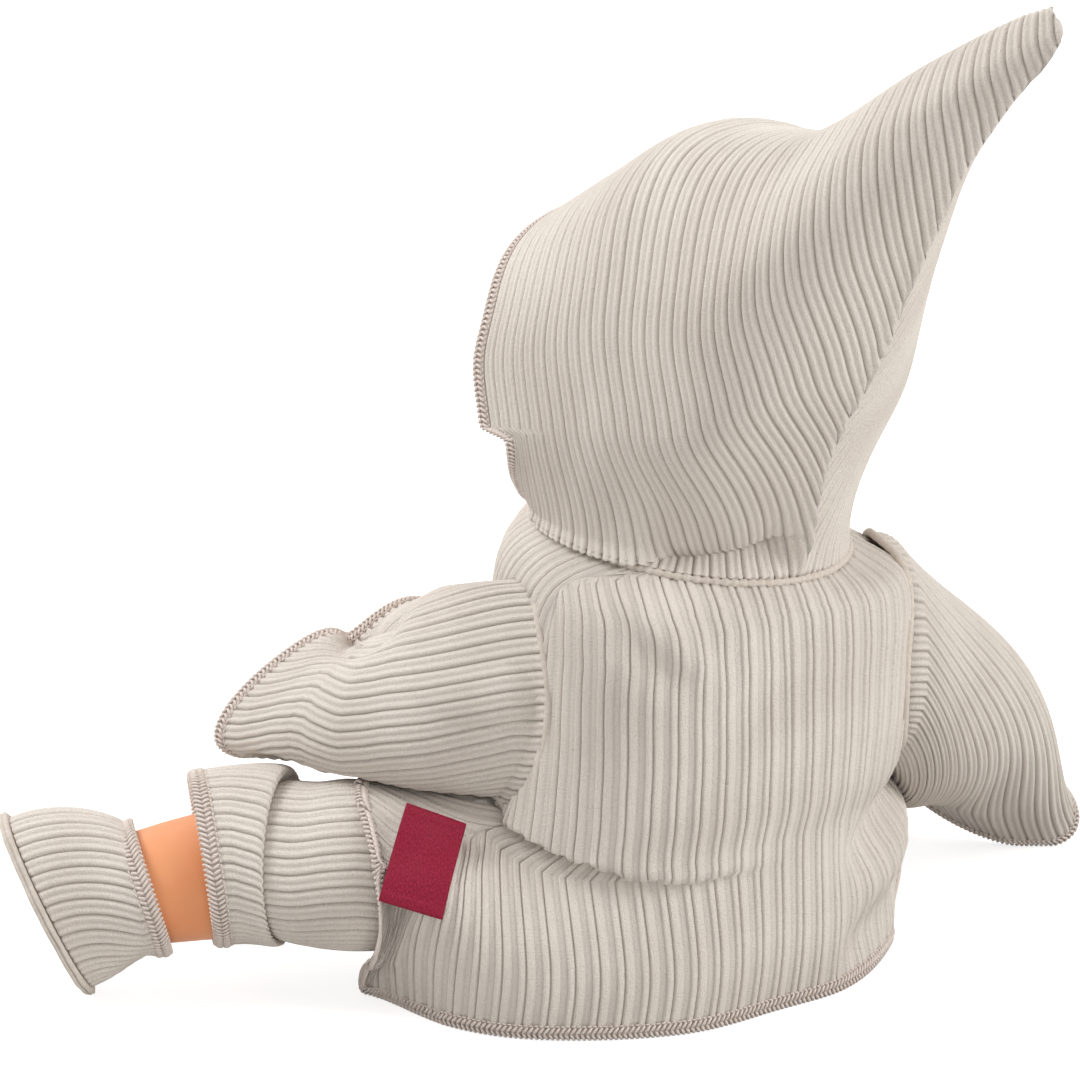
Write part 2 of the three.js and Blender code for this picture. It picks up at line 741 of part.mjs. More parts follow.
// Head: an ellipsoid with a soft child's face, a neck and a flange, hollow and open below
const faceForms = [
  { angle: 0, height: headCentreHeight - 9.5, out: 6, wide: 7, tall: 4.5 },
  { angle: 0, height: eyeHeight, out: 1.5, wide: 6, tall: 7 },
  { angle: 33, height: headCentreHeight - 17, out: 3, wide: 17, tall: 10 },
  { angle: 0, height: headCentreHeight - 20.5, out: 2.6, wide: 10, tall: 2.6 },
  { angle: 0, height: headCentreHeight - 25, out: 2.2, wide: 8, tall: 2 },
  { angle: 0, height: headCentreHeight - 33, out: 3.2, wide: 14, tall: 5 },
  { angle: eyeAngle, height: eyeHeight, out: -3.2, wide: 11, tall: 7 },
  { angle: 24, height: headCentreHeight + 9.5, out: 1, wide: 18, tall: 4 },
];

const headSides = 28;

function headRing(z, inset) {
  const share = clamp((z - headCentreHeight) / (headHalfHeight - inset), -1, 1);
  const width = Math.sqrt(1 - share * share);
  const count = headSides;
  return Array.from({ length: count }, (_, i) => {
    const angle = (360 * i) / count;
    const away = angle > 180 ? 360 - angle : angle;
    const face = faceForms.reduce((sum, f) => sum + f.out
      * Math.exp(-(((away - f.angle) / f.wide) ** 2) - (((z - f.height) / f.tall) ** 2)), 0);
    const cheek = 1 + 0.03 * Math.exp(-(((z - headCentreHeight + 10.5) / 16) ** 2));
    const across = (headHalfWidth - inset) * width * cheek + face;
    const deep = (headHalfDepth - inset) * width * cheek + face;
    return point(across * Math.sin(radians(angle)), headForward - deep * Math.cos(radians(angle)), z);
  });
}

function roundRing(radius, z, y = 0) {
  const count = headSides;
  return Array.from({ length: count }, (_, i) => {
    const angle = (2 * Math.PI * i) / count;
    return point(radius * Math.sin(angle), y - radius * Math.cos(angle), z);
  });
}

function headShell() {
  const heads = (inset, fine) => Array.from({ length: fine }, (_, k) => {
    const polar = lerp(0.84 * Math.PI, 0.03 * Math.PI, k / (fine - 1));
    return headRing(headCentreHeight + (headHalfHeight - inset) * Math.cos(polar), inset);
  });
  const outer = [
    roundRing(neckFlangeRadius, neckBottom),
    roundRing(neckFlangeRadius, flangeTop - 0.8),
    roundRing(neckGrooveRadius, flangeTop),
    roundRing(neckGrooveRadius, grooveTop),
    roundRing(neckRadius, grooveTop + 1),
    roundRing(neckRadius, grooveTop + 14, -1),
    ...heads(0, 15),
  ];
  const bore = neckGrooveRadius - vinylWall;
  const inner = [
    roundRing(bore, neckBottom),
    roundRing(bore, grooveTop + 15, -1),
    ...heads(vinylWall, 6),
  ];
  return cut(cupWall(outer, inner), ...[1, -1].map((side) => eyeBall(side, eyeRadius + seamGap)));
}

function eyeBall(side, radius = eyeRadius) {
  const reach = headHalfDepth - eyeSink;
  const angle = radians(eyeAngle);
  return new THREE.SphereGeometry(radius, 12, 8).rotateX(Math.PI / 2)
    .translate(side * (reach * Math.sin(angle)), headForward - reach * Math.cos(angle), eyeHeight);
}

// Hood: rings run from the neckline over the top and down again, from the brim back to the seam
const hoodBase = necklineHeight + seamGap;

function sagittal(rows, share, inset) {
  const [y, z] = along(rows, share);
  return [y - inset * 0.6, z - inset];
}

function hoodRing(back, inset, drop) {
  const brim = (q) => along([
    [0, -26, hoodBase],
    [0.2, -32, lerp(hoodBase, headCentreHeight, 0.3)],
    [0.36, -29, lerp(hoodBase, headCentreHeight, 0.568)],
    [0.42, -35, lerp(hoodBase, headCentreHeight, 0.644)],
    [0.58, -36, headCentreHeight - 5.5],
    [0.75, -36, headCentreHeight + 7.5],
    [0.9, -40, headCentreHeight + 19.5],
    [1, -45, headCentreHeight + 27.5],
  ], q);
  const seam = (q) => along([
    [0, necklineRadius, hoodBase],
    [0.24, 57, headCentreHeight - 13.5],
    [0.44, 74, headCentreHeight + 16.5],
    [0.58, 85, headCentreHeight + 40.5],
    [0.85, hoodTipBack - 14, hoodTipHeight - 24],
    [0.96, hoodTipBack + 1, hoodTipHeight - 5],
    [1, hoodTipBack - 3, hoodTipHeight],
  ], q);
  const ridge = (p) => along([
    [0, -45, headCentreHeight + 27.5],
    [0.25, -19, headCentreHeight + 44],
    [0.5, 12, headCentreHeight + 57.5],
    [0.7, 46, headCentreHeight + 63.5],
    [0.85, 84, headCentreHeight + 83.5],
    [1, hoodTipBack - 3, hoodTipHeight],
  ], p);
  const place = Math.min(back, 1);
  const angle = radians(lerp(hoodFrontAngle, 180, place));
  const foot = [-necklineRadius * Math.cos(angle), hoodBase];
  const crown = ridge(place);
  const half = hoodHalfWidth * (1 - place ** 4) ** 0.75 * lerp(0.9, 1, ease(place / 0.25));
  const tall = 10;
  const side = Array.from({ length: tall + 1 }, (_, k) => {
    const q = Math.sin((k / tall) * Math.PI / 2) ** 1.3;
    const mixed = [0, 1].map((c) => {
      const between = lerp(foot[c], crown[c], q);
      const front = brim(q)[c] - lerp(brim(0)[c], brim(1)[c], q);
      const rear = seam(q)[c] - lerp(seam(0)[c], seam(1)[c], q);
      return between + (1 - place) * front + place * rear;
    });
    const widest = 0.42;
    const base = necklineRadius * Math.sin(angle);
    const flare = q < widest
      ? lerp(base, half, ease(q / widest))
      : half * Math.max(0, 1 - ((q - widest) / (1 - widest)) ** hoodRoundness) ** (1 / 2.2);
    const pull = inset * (0.15 + 0.85 * q);
    return {
      x: k === tall ? 0 : Math.max(flare - inset, 0.5),
      y: mixed[0] - (place > 0.5 ? inset * 2 * (place - 0.5) : 0),
      z: mixed[1] - pull - (k === 0 ? drop : 0),
    };
  });
  const left = side.map(({ x, y, z }) => point(x, y, z));
  const right = side.slice(0, -1).toReversed().map(({ x, y, z }) => point(-x, y, z));
  return [...left, ...right];
}

function hood() {
  const steps = 12;
  const outer = Array.from({ length: steps + 1 }, (_, k) => hoodRing(k / steps, 0, 0));
  const inner = Array.from({ length: steps + 1 }, (_, k) => (
    hoodRing((hoodBackEnd * k) / steps, clothThickness, 6)
  ));
  const ahead = inner[0].map((p) => p.clone().add(point(0, -12, 0)));
  return cut(seamedLoft(outer), seamedLoft([ahead, ...inner]));
}

// Arms
const leftArm = new Limb([
  [shoulderHalfSpacing + seamGap, leftShoulderForward, shoulderHeight],
  [60, leftShoulderForward - 10, shoulderHeight - 4],
  [66, leftShoulderForward - 28, shoulderHeight - 9],
  [70, leftShoulderForward - 44, shoulderHeight - 15],
], zAxis, xAxis);
const rightArm = new Limb([
  [-shoulderHalfSpacing - seamGap, rightShoulderForward, shoulderHeight],
  [-65, rightShoulderForward - 3, shoulderHeight - 16],
  [-79, rightShoulderForward - 9, shoulderHeight - 33],
  [-90, rightShoulderForward - 16, shoulderHeight - 50],
], zAxis, xAxis.clone().negate());

// Room that an arm needs: [distance along it, radius, lift]
const armRoom = [
  [0, shoulderSeamRadius, 0],
  [8, upperArmRadius, 0],
  [upperArmLength, tieNeckRadius + tieThickness + seamGap, 0],
  [wristDistance, forearmRadius, 0],
  [wristDistance + handLength / 2, handHalfWidth + 2, 0],
  [wristDistance + handLength, handHalfWidth + 2, 0],
  [wristDistance + handLength + 6, handHalfWidth + 1, 0],
];

// Cloth end that the vinyl piece plugs into, drawn in by a tie
function socketRows(end, radii) {
  return [
    ...radii,
    [end - 5, tieNeckRadius + 1.5],
    [end - 3.6, tieNeckRadius],
    [end - 1, tieNeckRadius],
    [end, tieNeckRadius + 1],
  ];
}

function clothLimb(limb, end, radii) {
  const form = loft(limb.rings(socketRows(end, radii)));
  const socket = loft(limb.rings([[end - spigotLength - seamGap, spigotRadius + seamGap], [end + 4, spigotRadius + seamGap]]));
  return cut(form, socket);
}

function limbTie(limb, end) {
  const start = end - 1 - tieWidth;
  const rows = (radius) => [[start, radius], [start + tieWidth, radius]];
  return sleeveWall(limb.rings(rows(tieNeckRadius + seamGap + tieThickness)), limb.rings(rows(tieNeckRadius + seamGap)));
}

function upperArm(limb) {
  return clothLimb(limb, upperArmLength, [
    [0, shoulderSeamRadius],
    [5, upperArmRadius],
    [12, upperArmRadius],
    [20, upperArmRadius],
    [upperArmLength - 9, upperArmRadius - 0.5],
  ]);
}

// Vinyl forearm with a hand: palm, thumb and four fingers
function forearm(limb) {
  const start = upperArmLength + seamGap;
  const wrist = wristDistance;
  const arm = loft(limb.rings([
    [start - spigotLength, spigotRadius],
    [start, spigotRadius],
    [start + 0.5, forearmRadius],
    [lerp(start, wrist, 0.35), forearmRadius + 0.5],
    [lerp(start, wrist, 0.75), forearmRadius - 1],
    [wrist, wristRadius],
    [wrist + 5, handHalfThickness, handHalfWidth - 1],
    [wrist + 12, handHalfThickness, handHalfWidth],
    [wrist + handLength - 5, handHalfThickness - 1, handHalfWidth - 0.5],
    [wrist + handLength - 2, handHalfThickness - 3, handHalfWidth - 3],
  ]));
  const { axis, up, side } = limb.frame(wrist);
  const palmEnd = limb.frame(wrist + handLength - 6).centre;
  const finger = (from, direction, length, radius) => {
    const capsule = new THREE.CapsuleGeometry(radius, length, 2, 7);
    capsule.applyQuaternion(new THREE.Quaternion().setFromUnitVectors(point(0, 1, 0), direction));
    const middle = from.clone().addScaledVector(direction, length / 2);
    return capsule.translate(middle.x, middle.y, middle.z);
  };
  const curl = axis.clone().addScaledVector(up, -0.35).normalize();
  const fingers = [-1.5, -0.5, 0.5, 1.5].map((place, k) => finger(
    palmEnd.clone().addScaledVector(side, place * 4.9),
    curl.clone().addScaledVector(side, place * 0.1).normalize(),
    fingerLength - (k === 0 || k === 3 ? 2 : 0),
    fingerRadius - 0.3,
  ));
  const thumbSide = Math.sign(side.dot(point(-Math.sign(limb.outward.x), 0, 0))) || 1;
  const thumb = finger(
    limb.frame(wrist + 7).centre.clone().addScaledVector(side, thumbSide * (handHalfWidth - 3)),
    axis.clone().addScaledVector(side, thumbSide * 0.5).normalize(),
    fingerLength - 2,
    fingerRadius,
  );
  return join(arm, ...fingers, thumb);
}

// Sleeves: from the armhole to a wide soft cuff, each given by the cuff's middle and its two half-widths
function sleeve(limb, { sign, forward, bend, cuff, cuffUp, cuffBack, wrinkleAt }) {
  const arm = spheresAlong(limb, armRoom);
  const start = point(sign * (shoulderHalfSpacing + seamGap), forward, armholeHeight);
  const line = new THREE.QuadraticBezierCurve3(start, bend, cuff);
  const between = (from, to, share) => (
    from.clone().lerp(to, share).setLength(lerp(from.length(), to.length(), share))
  );
  const startUp = point(0, 0, armholeHalfHeight);
  const startBack = point(0, armholeHalfDepth, 0);
  const count = 20;
  const ring = (share, inset) => {
    const centre = line.getPoint(share);
    const up = between(startUp, cuffUp, ease(share));
    const back = between(startBack, cuffBack, ease(share));
    up.setLength(up.length() - inset);
    back.setLength(back.length() - inset);
    return Array.from({ length: count }, (_, i) => {
      const angle = (2 * Math.PI * i) / count;
      const wrinkle = 1 - sleeveWrinkle * Math.sin(Math.PI * share) * Math.exp(-(((angle - wrinkleAt) / 0.4) ** 2));
      const place = centre.clone()
        .addScaledVector(up, Math.cos(angle) * wrinkle)
        .addScaledVector(back, Math.sin(angle) * wrinkle);
      clearOf(arm, 1.9 + clothThickness - inset, place);
      const reach = jacketReach(place.y, place.z) + seamGap;
      const clear = reach + (inset * 0.6 + 0.6) * ease(share * 6);
      place.x = sign * (share === 0 ? reach : Math.max(sign * place.x, clear));
      place.z = Math.max(place.z, floorLevel + inset);
      return place;
    });
  };
  const steps = 8;
  const rings = (inset) => Array.from({ length: steps + 1 }, (_, k) => ring(k / steps, inset));
  return sleeveWall(rings(0), rings(clothThickness));
}

function footRing(limb, soles, toes, share, grow, count = 16) {
  const ankle = limb.frame(limb.length);
  const normal = ankle.axis.clone().lerp(soles, ease(share)).normalize();
  const lengthwise = toes.clone().addScaledVector(normal, -toes.dot(normal)).normalize();
  const across = normal.clone().cross(lengthwise);
  const swell = Math.sin(Math.min(share, 1) * Math.PI * 0.5);
  const centre = ankle.centre.clone()
    .addScaledVector(soles, footDrop * share)
    .addScaledVector(lengthwise, footForward * swell);
  const long = lerp(ankleRadius, footHalfLength, swell) + grow;
  const wide = lerp(ankleRadius, footHalfWidth, swell) + grow;
  return Array.from({ length: count }, (_, i) => {
    const angle = (2 * Math.PI * i) / count;
    return centre.clone()
      .addScaledVector(lengthwise, long * Math.cos(angle))
      .addScaledVector(across, wide * Math.sin(angle));
  });
}

function thigh(limb) {
  return clothLimb(limb, thighLength, [
    [0, hipSeamRadius],
    [4, thighRadius],
    [11, thighRadius],
    [18, thighRadius],
    [25, thighRadius],
    [thighLength - 9, thighRadius - 1],
  ]);
}

function lowerLeg(limb, soles, toes) {
  const start = thighLength + seamGap;
  const rings = limb.rings([
    [start - spigotLength, spigotRadius],
    [start, spigotRadius],
    [start + 0.5, thighRadius - 1],
    [lerp(start, limb.length, 0.15), kneeRadius - 0.7],
    [lerp(start, limb.length, 0.3), kneeRadius - 0.4],
    [lerp(start, limb.length, 0.45), kneeRadius],
    [lerp(start, limb.length, 0.6), kneeRadius],
    [lerp(start, limb.length, 0.85), ankleRadius + 1.2],
    [limb.length, ankleRadius],
  ]);
  const foot = [0.35, 0.65, 0.85, 0.97, 1].map((share) => (
    footRing(limb, soles, toes, share, share === 1 ? -2.5 : 0)
  ));
  return loft([...rings, ...foot]);
}

const trouserLeg = (limb) => sleeveWall(
  limb.evenRings(trouserRows, 0, trouserSpacing),
  limb.evenRings(trouserRows, -clothThickness, trouserSpacing),
);

function bootieUpper(limb, soles, toes) {
  const rings = (grow) => [
    limb.ring(limb.length - bootieBand, ankleRadius + 0.9 + grow),
    limb.ring(limb.length, ankleRadius + grow),
    ...[0.35, 0.65, 0.85, 1].map((share) => footRing(limb, soles, toes, share, grow)),
  ];
  return sleeveWall(rings(bootieEase + clothThickness), rings(bootieEase));
}

function bootieSole(limb, soles, toes) {
  const start = 1 + seamGap / footDrop;
  const end = start + soleThickness / footDrop;
  const grow = bootieEase + clothThickness;
  return loft([
    footRing(limb, soles, toes, start, grow),
    footRing(limb, soles, toes, start, grow + soleLip),
    footRing(limb, soles, toes, lerp(start, end, 0.5), grow + soleLip + 0.4),
    footRing(limb, soles, toes, end, grow + soleLip - 0.8),
    footRing(limb, soles, toes, end, grow - 2),
  ].slice(1));
}

// Finishes
const knit = new THREE.MeshStandardMaterial({ color: 0xc4bbb0, roughness: 0.95 });
const overlock = new THREE.MeshStandardMaterial({ color: 0xb5a69c, roughness: 0.95 });
const skin = new THREE.MeshStandardMaterial({ color: 0xe4a57d, roughness: 0.5 });
const bodyCloth = new THREE.MeshStandardMaterial({ color: 0xe6c3a8, roughness: 0.95 });
const fibre = new THREE.MeshStandardMaterial({ color: 0xf4f2ee, roughness: 1 });
const cord = new THREE.MeshStandardMaterial({ color: 0xf0ece4, roughness: 0.7 });
const satin = new THREE.MeshStandardMaterial({ color: 0x95243a, roughness: 0.55 });
const eyeGlass = new THREE.MeshStandardMaterial({ color: 0x5a3b28, roughness: 0.1 });

const doll = new THREE.Group();

function add(parent, name, geometry, material) {
  const clean = geometry.clone();
  clean.computeVertexNormals();
  const mesh = new THREE.Mesh(clean, material);
  mesh.name = name;
  parent.add(mesh);
}

// Torso
add(doll, 'body_cover', bodyCover(), bodyCloth);
add(doll, 'body_filling', bodyFilling(), fibre);
add(doll, 'neck_tie', neckTie(), cord);
add(doll, 'trouser_seat', trouserSeat(), knit);
add(doll, 'waistband', waistband(), overlock);
add(doll, 'jacket_back', jacketBack(), knit);
add(doll, 'jacket_front_left', jacketFrontLeft(), knit);
add(doll, 'jacket_front_right', jacketFrontRight(), knit);
add(doll, 'hook_strip', closureStrip(clothThickness + layerGap), cord);
add(doll, 'loop_strip', closureStrip(clothThickness + stripThickness + 2 * layerGap), cord);
add(doll, 'side_label', sideLabel(), satin);

// Head, turned a little to the doll's left
const head = new THREE.Group();
head.rotation.z = radians(headTurn);
doll.add(head);
add(head, 'head_shell', headShell(), skin);
add(head, 'eye_left', eyeBall(1), eyeGlass);
add(head, 'eye_right', eyeBall(-1), eyeGlass);
add(head, 'hood', hood(), knit);

// Limbs and what they wear
const leftCuffAcross = point(0.95, 0.02, -0.32).setLength(leftCuffHalfWidth);
const leftCuffUp = point(0.3, 0.1, 0.95).setLength(leftCuffHalfHeight);
const rightCuffOut = point(-0.86, 0.5, -0.1).setLength(rightCuffHalfWidth);
const rightCuffBack = point(-0.1, -0.1, -1).setLength(rightCuffHalfHeight);
const limbs = [
  {
    side: 'left', arm: leftArm, leg: leftLeg, soles: leftSoles, toes: leftToes,
    cloth: {
      sign: 1, forward: leftShoulderForward, bend: point(66, leftShoulderForward - 28, armholeHeight - 4),
      cuff: point(71, leftShoulderForward - 64, armholeHeight - 15), cuffUp: leftCuffUp,
      cuffBack: leftCuffAcross, wrinkleAt: 5.9,
    },
  },
  {
    side: 'right', arm: rightArm, leg: rightLeg, soles: rightSoles, toes: rightToes,
    cloth: {
      sign: -1, forward: rightShoulderForward, bend: point(-81, rightShoulderForward, armholeHeight - 31),
      cuff: point(-109, rightShoulderForward - 25, armholeHeight - 72), cuffUp: rightCuffOut,
      cuffBack: rightCuffBack, wrinkleAt: 1.2,
    },
  },
];
for (const { side, arm, leg, soles, toes, cloth } of limbs) {
  add(doll, `upper_arm_${side}`, upperArm(arm), bodyCloth);
  add(doll, `arm_tie_${side}`, limbTie(arm, upperArmLength), cord);
  add(doll, `forearm_${side}`, forearm(arm), skin);
  add(doll, `sleeve_${side}`, sleeve(arm, cloth), knit);
  add(doll, `thigh_${side}`, thigh(leg), bodyCloth);
  add(doll, `leg_tie_${side}`, limbTie(leg, thighLength), cord);
  add(doll, `lower_leg_${side}`, lowerLeg(leg, soles, toes), skin);
  add(doll, `trouser_leg_${side}`, trouserLeg(leg), knit);
  add(doll, `bootie_upper_${side}`, bootieUpper(leg, soles, toes), knit);
  add(doll, `bootie_sole_${side}`, bootieSole(leg, soles, toes), overlock);
}

export default doll;
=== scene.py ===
"""Baby doll in a hooded suit of ribbed knit, dressed on its solid model."""
import math

import bpy
import numpy as np
from bpy.props import FloatProperty, FloatVectorProperty, PointerProperty
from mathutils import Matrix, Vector


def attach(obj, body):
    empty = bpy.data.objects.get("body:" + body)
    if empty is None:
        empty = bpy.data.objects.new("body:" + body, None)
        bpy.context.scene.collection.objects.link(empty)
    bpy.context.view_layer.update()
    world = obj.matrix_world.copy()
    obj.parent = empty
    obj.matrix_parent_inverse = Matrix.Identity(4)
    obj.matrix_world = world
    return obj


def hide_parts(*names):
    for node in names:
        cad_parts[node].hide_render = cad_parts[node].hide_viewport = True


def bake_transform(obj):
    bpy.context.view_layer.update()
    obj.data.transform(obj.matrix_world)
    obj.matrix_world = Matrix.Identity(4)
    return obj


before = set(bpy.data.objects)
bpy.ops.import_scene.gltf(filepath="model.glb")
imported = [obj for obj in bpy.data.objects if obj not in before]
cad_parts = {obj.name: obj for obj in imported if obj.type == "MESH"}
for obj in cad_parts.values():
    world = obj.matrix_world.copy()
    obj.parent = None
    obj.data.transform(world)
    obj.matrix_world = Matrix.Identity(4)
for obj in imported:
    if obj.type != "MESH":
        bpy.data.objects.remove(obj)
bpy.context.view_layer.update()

bl_info = {
    "name": "Baby doll in a ribbed suit",
    "version": (1, 0, 0),
    "blender": (4, 5, 0),
    "location": "3D View > Sidebar > Doll",
    "description": "Dresses the solid model of a baby doll in a hooded suit of ribbed knit",
    "category": "Object",
}

# Lengths below are millimetres, in the frame of the solid model, unless a name says otherwise
MM = 0.001

# Cloth, sewing thread and the gaps between pieces
CLOTH = 1.1
STITCH = 1.35
OVERLOCK_WIDTH = 3.9
SOLID_CLOTH = 2.0
SEAM_GAP = 0.3
FLOOR = 0.3
SLEEVE_CLEARANCE = 2.4

# Body, hips and shoulders
HIP_SPACING = 38.0
HIP_HEIGHT = 31.0
HIP_FORWARD = -5.0
SHOULDER_SPACING = 50.0
ARMHOLE_HEIGHT = 83.0
ARMHOLE_HALF_HEIGHT = 30.0
ARMHOLE_HALF_DEPTH = 19.0
ARMHOLE_REACH = 24.0
SHOULDER_FORWARD = {"left": -3.0, "right": 15.0}
NECKLINE_HEIGHT = 118.0
NECKLINE_RADIUS = 40.0

# Trousers and feet
ANKLE_RADIUS = 14.5
KNEE_RADIUS = 17.0
THIGH_RADIUS = 16.0
THIGH_LENGTH = 44.0
FOOT_DROP = 21.0
FOOT_FORWARD = 6.5
FOOT_HALF_LENGTH = 21.5
FOOT_HALF_WIDTH = 12.0

# Head
HEAD_TURN = math.radians(10)
HEAD_CENTRE = 170.5
HEAD_HALF = (42.5, 43.5, 42.0)
HEAD_FORWARD = -3.0
EYE_RADIUS = 7.0
EYE_HEIGHT = 170.0
EYE_ANGLE = 23.0
EYE_SINK = 5.0


def smooth(t):
    t = np.clip(t, 0, 1)
    return t * t * (3 - 2 * t)


def lerp(a, b, t):
    return a + (b - a) * t


def unit(v):
    return v / np.maximum(np.linalg.norm(v, axis=-1, keepdims=True), 1e-9)


def power(value, exponent):
    return np.sign(value) * np.abs(value) ** exponent


def bump(x, middle, width):
    return np.exp(-(((x - middle) / width) ** 2))


def through(knots, values, place):
    """A smooth run through values[knot, point] at each point's own place."""
    knots = np.asarray(knots, float)
    last = len(knots) - 1
    k = np.clip(np.searchsorted(knots, place) - 1, 0, last - 1)
    pick = np.arange(len(place)) if values.shape[1] > 1 else np.zeros(len(place), int)
    span = (knots[k + 1] - knots[k])[:, None]
    t = np.clip((place - knots[k])[:, None] / span, 0, 1)

    def slope(i):
        low, high = np.maximum(i - 1, 0), np.minimum(i + 1, last)
        rise = values[high, pick] - values[low, pick]
        return rise / (knots[high] - knots[low])[:, None] * span

    start, end = values[k, pick], values[k + 1, pick]
    m, n = slope(k), slope(k + 1)
    return start + t * (m + t * (3 * (end - start) - 2 * m - n + t * (2 * (start - end) + m + n)))


def along(rows, place):
    """Values that run smoothly through rows of [place, value, value, ...]."""
    rows = np.asarray(rows, float)
    place = np.atleast_1d(np.asarray(place, float))
    return through(rows[:, 0], rows[:, None, 1:], place.ravel()).reshape(*place.shape, -1)


def around(rows, angle):
    """The same, right round a loop of [angle, value, value, ...]."""
    rows = np.asarray(rows, float)
    turn = np.zeros(rows.shape[1])
    turn[0] = 360
    loop = np.vstack([rows[-1] - turn, rows, rows[0] + turn, rows[1] + turn])
    return along(loop, (np.asarray(angle) + 180) % 360 - 180)


class Limb:
    """The middle line of a limb, which starts square to the body."""

    def __init__(self, places, toward, outward):
        self.points = np.array(places, float)
        self.toward = unit(np.array(toward, float))
        self.outward = np.array(outward, float)
        self.samples = np.linspace(0, 1, 801)
        steps = np.linalg.norm(np.diff(self.spline(self.samples), axis=0), axis=1)
        self.lengths = np.concatenate([[0], np.cumsum(steps)])
        self.length = self.lengths[-1]

    def spline(self, t):
        p = self.points
        last = len(p) - 1
        known = np.vstack([2 * p[0] - p[1], p, 2 * p[-1] - p[-2]])
        place = np.clip(t, 0, 1) * last
        i = np.minimum(place.astype(int), last - 1)
        w = (place - i)[..., None]
        a, b, c, d = (known[i + k] for k in range(4))

        def gap(p, q):
            return np.maximum(((p - q) ** 2).sum(-1, keepdims=True) ** 0.25, 1e-4)

        e, f, g = gap(a, b), gap(b, c), gap(c, d)
        m = ((b - a) / e - (c - a) / (e + f) + (c - b) / f) * f
        n = ((c - b) / f - (d - b) / (f + g) + (d - c) / g) * f
        return b + w * (m + w * (3 * (c - b) - 2 * m - n + w * (2 * (b - c) + m + n)))

    def frame(self, s):
        s = np.asarray(s, float)
        reached = np.clip(s, 0, self.length)
        u = np.interp(reached, self.lengths, self.samples)
        tangent = unit(self.spline(np.minimum(u + 1e-3, 1)) - self.spline(np.maximum(u - 1e-3, 0)))
        centre = self.spline(u) + tangent * (s - reached)[..., None]
        axis = unit(lerp(self.outward, tangent, smooth(s / (0.4 * self.length))[..., None]))
        up = unit(self.toward - axis * (axis @ self.toward)[..., None])
        return centre, axis, up, np.cross(axis, up)

    def round(self, s, angle, upward, across, lift=0.0):
        centre, _, up, side = self.frame(s)
        return (
            centre
            + up * (lift + upward * np.cos(angle))[..., None]
            + side * (across * np.sin(angle))[..., None]
        )

    def tube(self, rows, s, angle):
        values = along(rows, s)
        lift = values[..., 2] if values.shape[-1] > 2 else np.zeros_like(s)
        across = values[..., 1] if values.shape[-1] > 1 else values[..., 0]
        return self.round(s, angle, values[..., 0], across, lift)


LEGS = {
    "left": Limb(
        [
            (HIP_SPACING + SEAM_GAP, HIP_FORWARD, HIP_HEIGHT),
            (60, HIP_FORWARD - 5, HIP_HEIGHT + 1),
            (84, HIP_FORWARD - 18, HIP_HEIGHT + 1),
            (108, HIP_FORWARD - 39, HIP_HEIGHT),
            (134, -55, 28),
        ],
        (0.3, -0.5, 0.81),
        (1, 0, 0),
    ),
    "right": Limb(
        [
            (-HIP_SPACING - SEAM_GAP, HIP_FORWARD, HIP_HEIGHT),
            (-47, HIP_FORWARD - 16, HIP_HEIGHT),
            (-54, HIP_FORWARD - 38, HIP_HEIGHT),
            (-58, -76, 29),
            (-59, -109, 27),
        ],
        (-0.12, -0.33, 0.94),
        (-1, 0, 0),
    ),
}
TOES = {"left": unit(np.array([0.3, -0.5, 0.81])), "right": unit(np.array([-0.12, -0.33, 0.94]))}
SOLES = {"left": unit(np.array([0.84, -0.35, -0.42])), "right": unit(np.array([-0.08, -0.94, -0.34]))}
ARMS = {
    "left": Limb([(50.3, -3, 86), (60, -13, 82), (66, -31, 77), (70, -47, 71)], (0, 0, 1), (1, 0, 0)),
    "right": Limb([(-50.3, 15, 86), (-64, 8, 71), (-76, -6, 52), (-85, -18, 34)], (0, 0, 1), (-1, 0, 0)),
}

# Distance along the leg, half-width up, half-width across, lift
TROUSER_ROWS = [
    [0, 18.6, 18.6, 0],
    [10, 18.8, 18.8, 0],
    [36.8, 18.8, 18.8, 0],
    [55.2, 20.4, 19.8, 0.8],
    [64.4, 19.6, 19.6, 0.6],
    [77.3, 22, 21, 2.5],
    [92, 22, 20.5, 2.5],
]
ARM_ROOM = [[0, 12, 0], [8, 12, 0], [32, 13.6, 0], [55, 10, 0], [65, 11.5, 0], [75, 11.5, 0], [81, 10.5, 0]]


def balls_along(limb, rows):
    """Spheres that fill a limb, as centres and radii."""
    s = np.linspace(rows[0][0], rows[-1][0], 60)
    values = along(rows, s)
    centre, _, up, _ = limb.frame(s)
    return centre + up * values[:, -1:], values[:, 0]


def clear_of(balls, clearance, places):
    """Places that would lie in the nearest sphere, moved straight out of it."""
    centres, radii = balls
    square = (places**2).sum(1)[:, None] + (centres**2).sum(1) - 2 * places @ centres.T
    depth = radii + clearance - np.sqrt(np.maximum(square, 1e-9))
    worst = depth.argmax(1)
    inside = depth[np.arange(len(places)), worst] > 0
    centre, radius = centres[worst[inside]], radii[worst[inside]]
    moved = places.copy()
    moved[inside] = centre + unit(places[inside] - centre) * (radius + clearance)[:, None]
    return moved


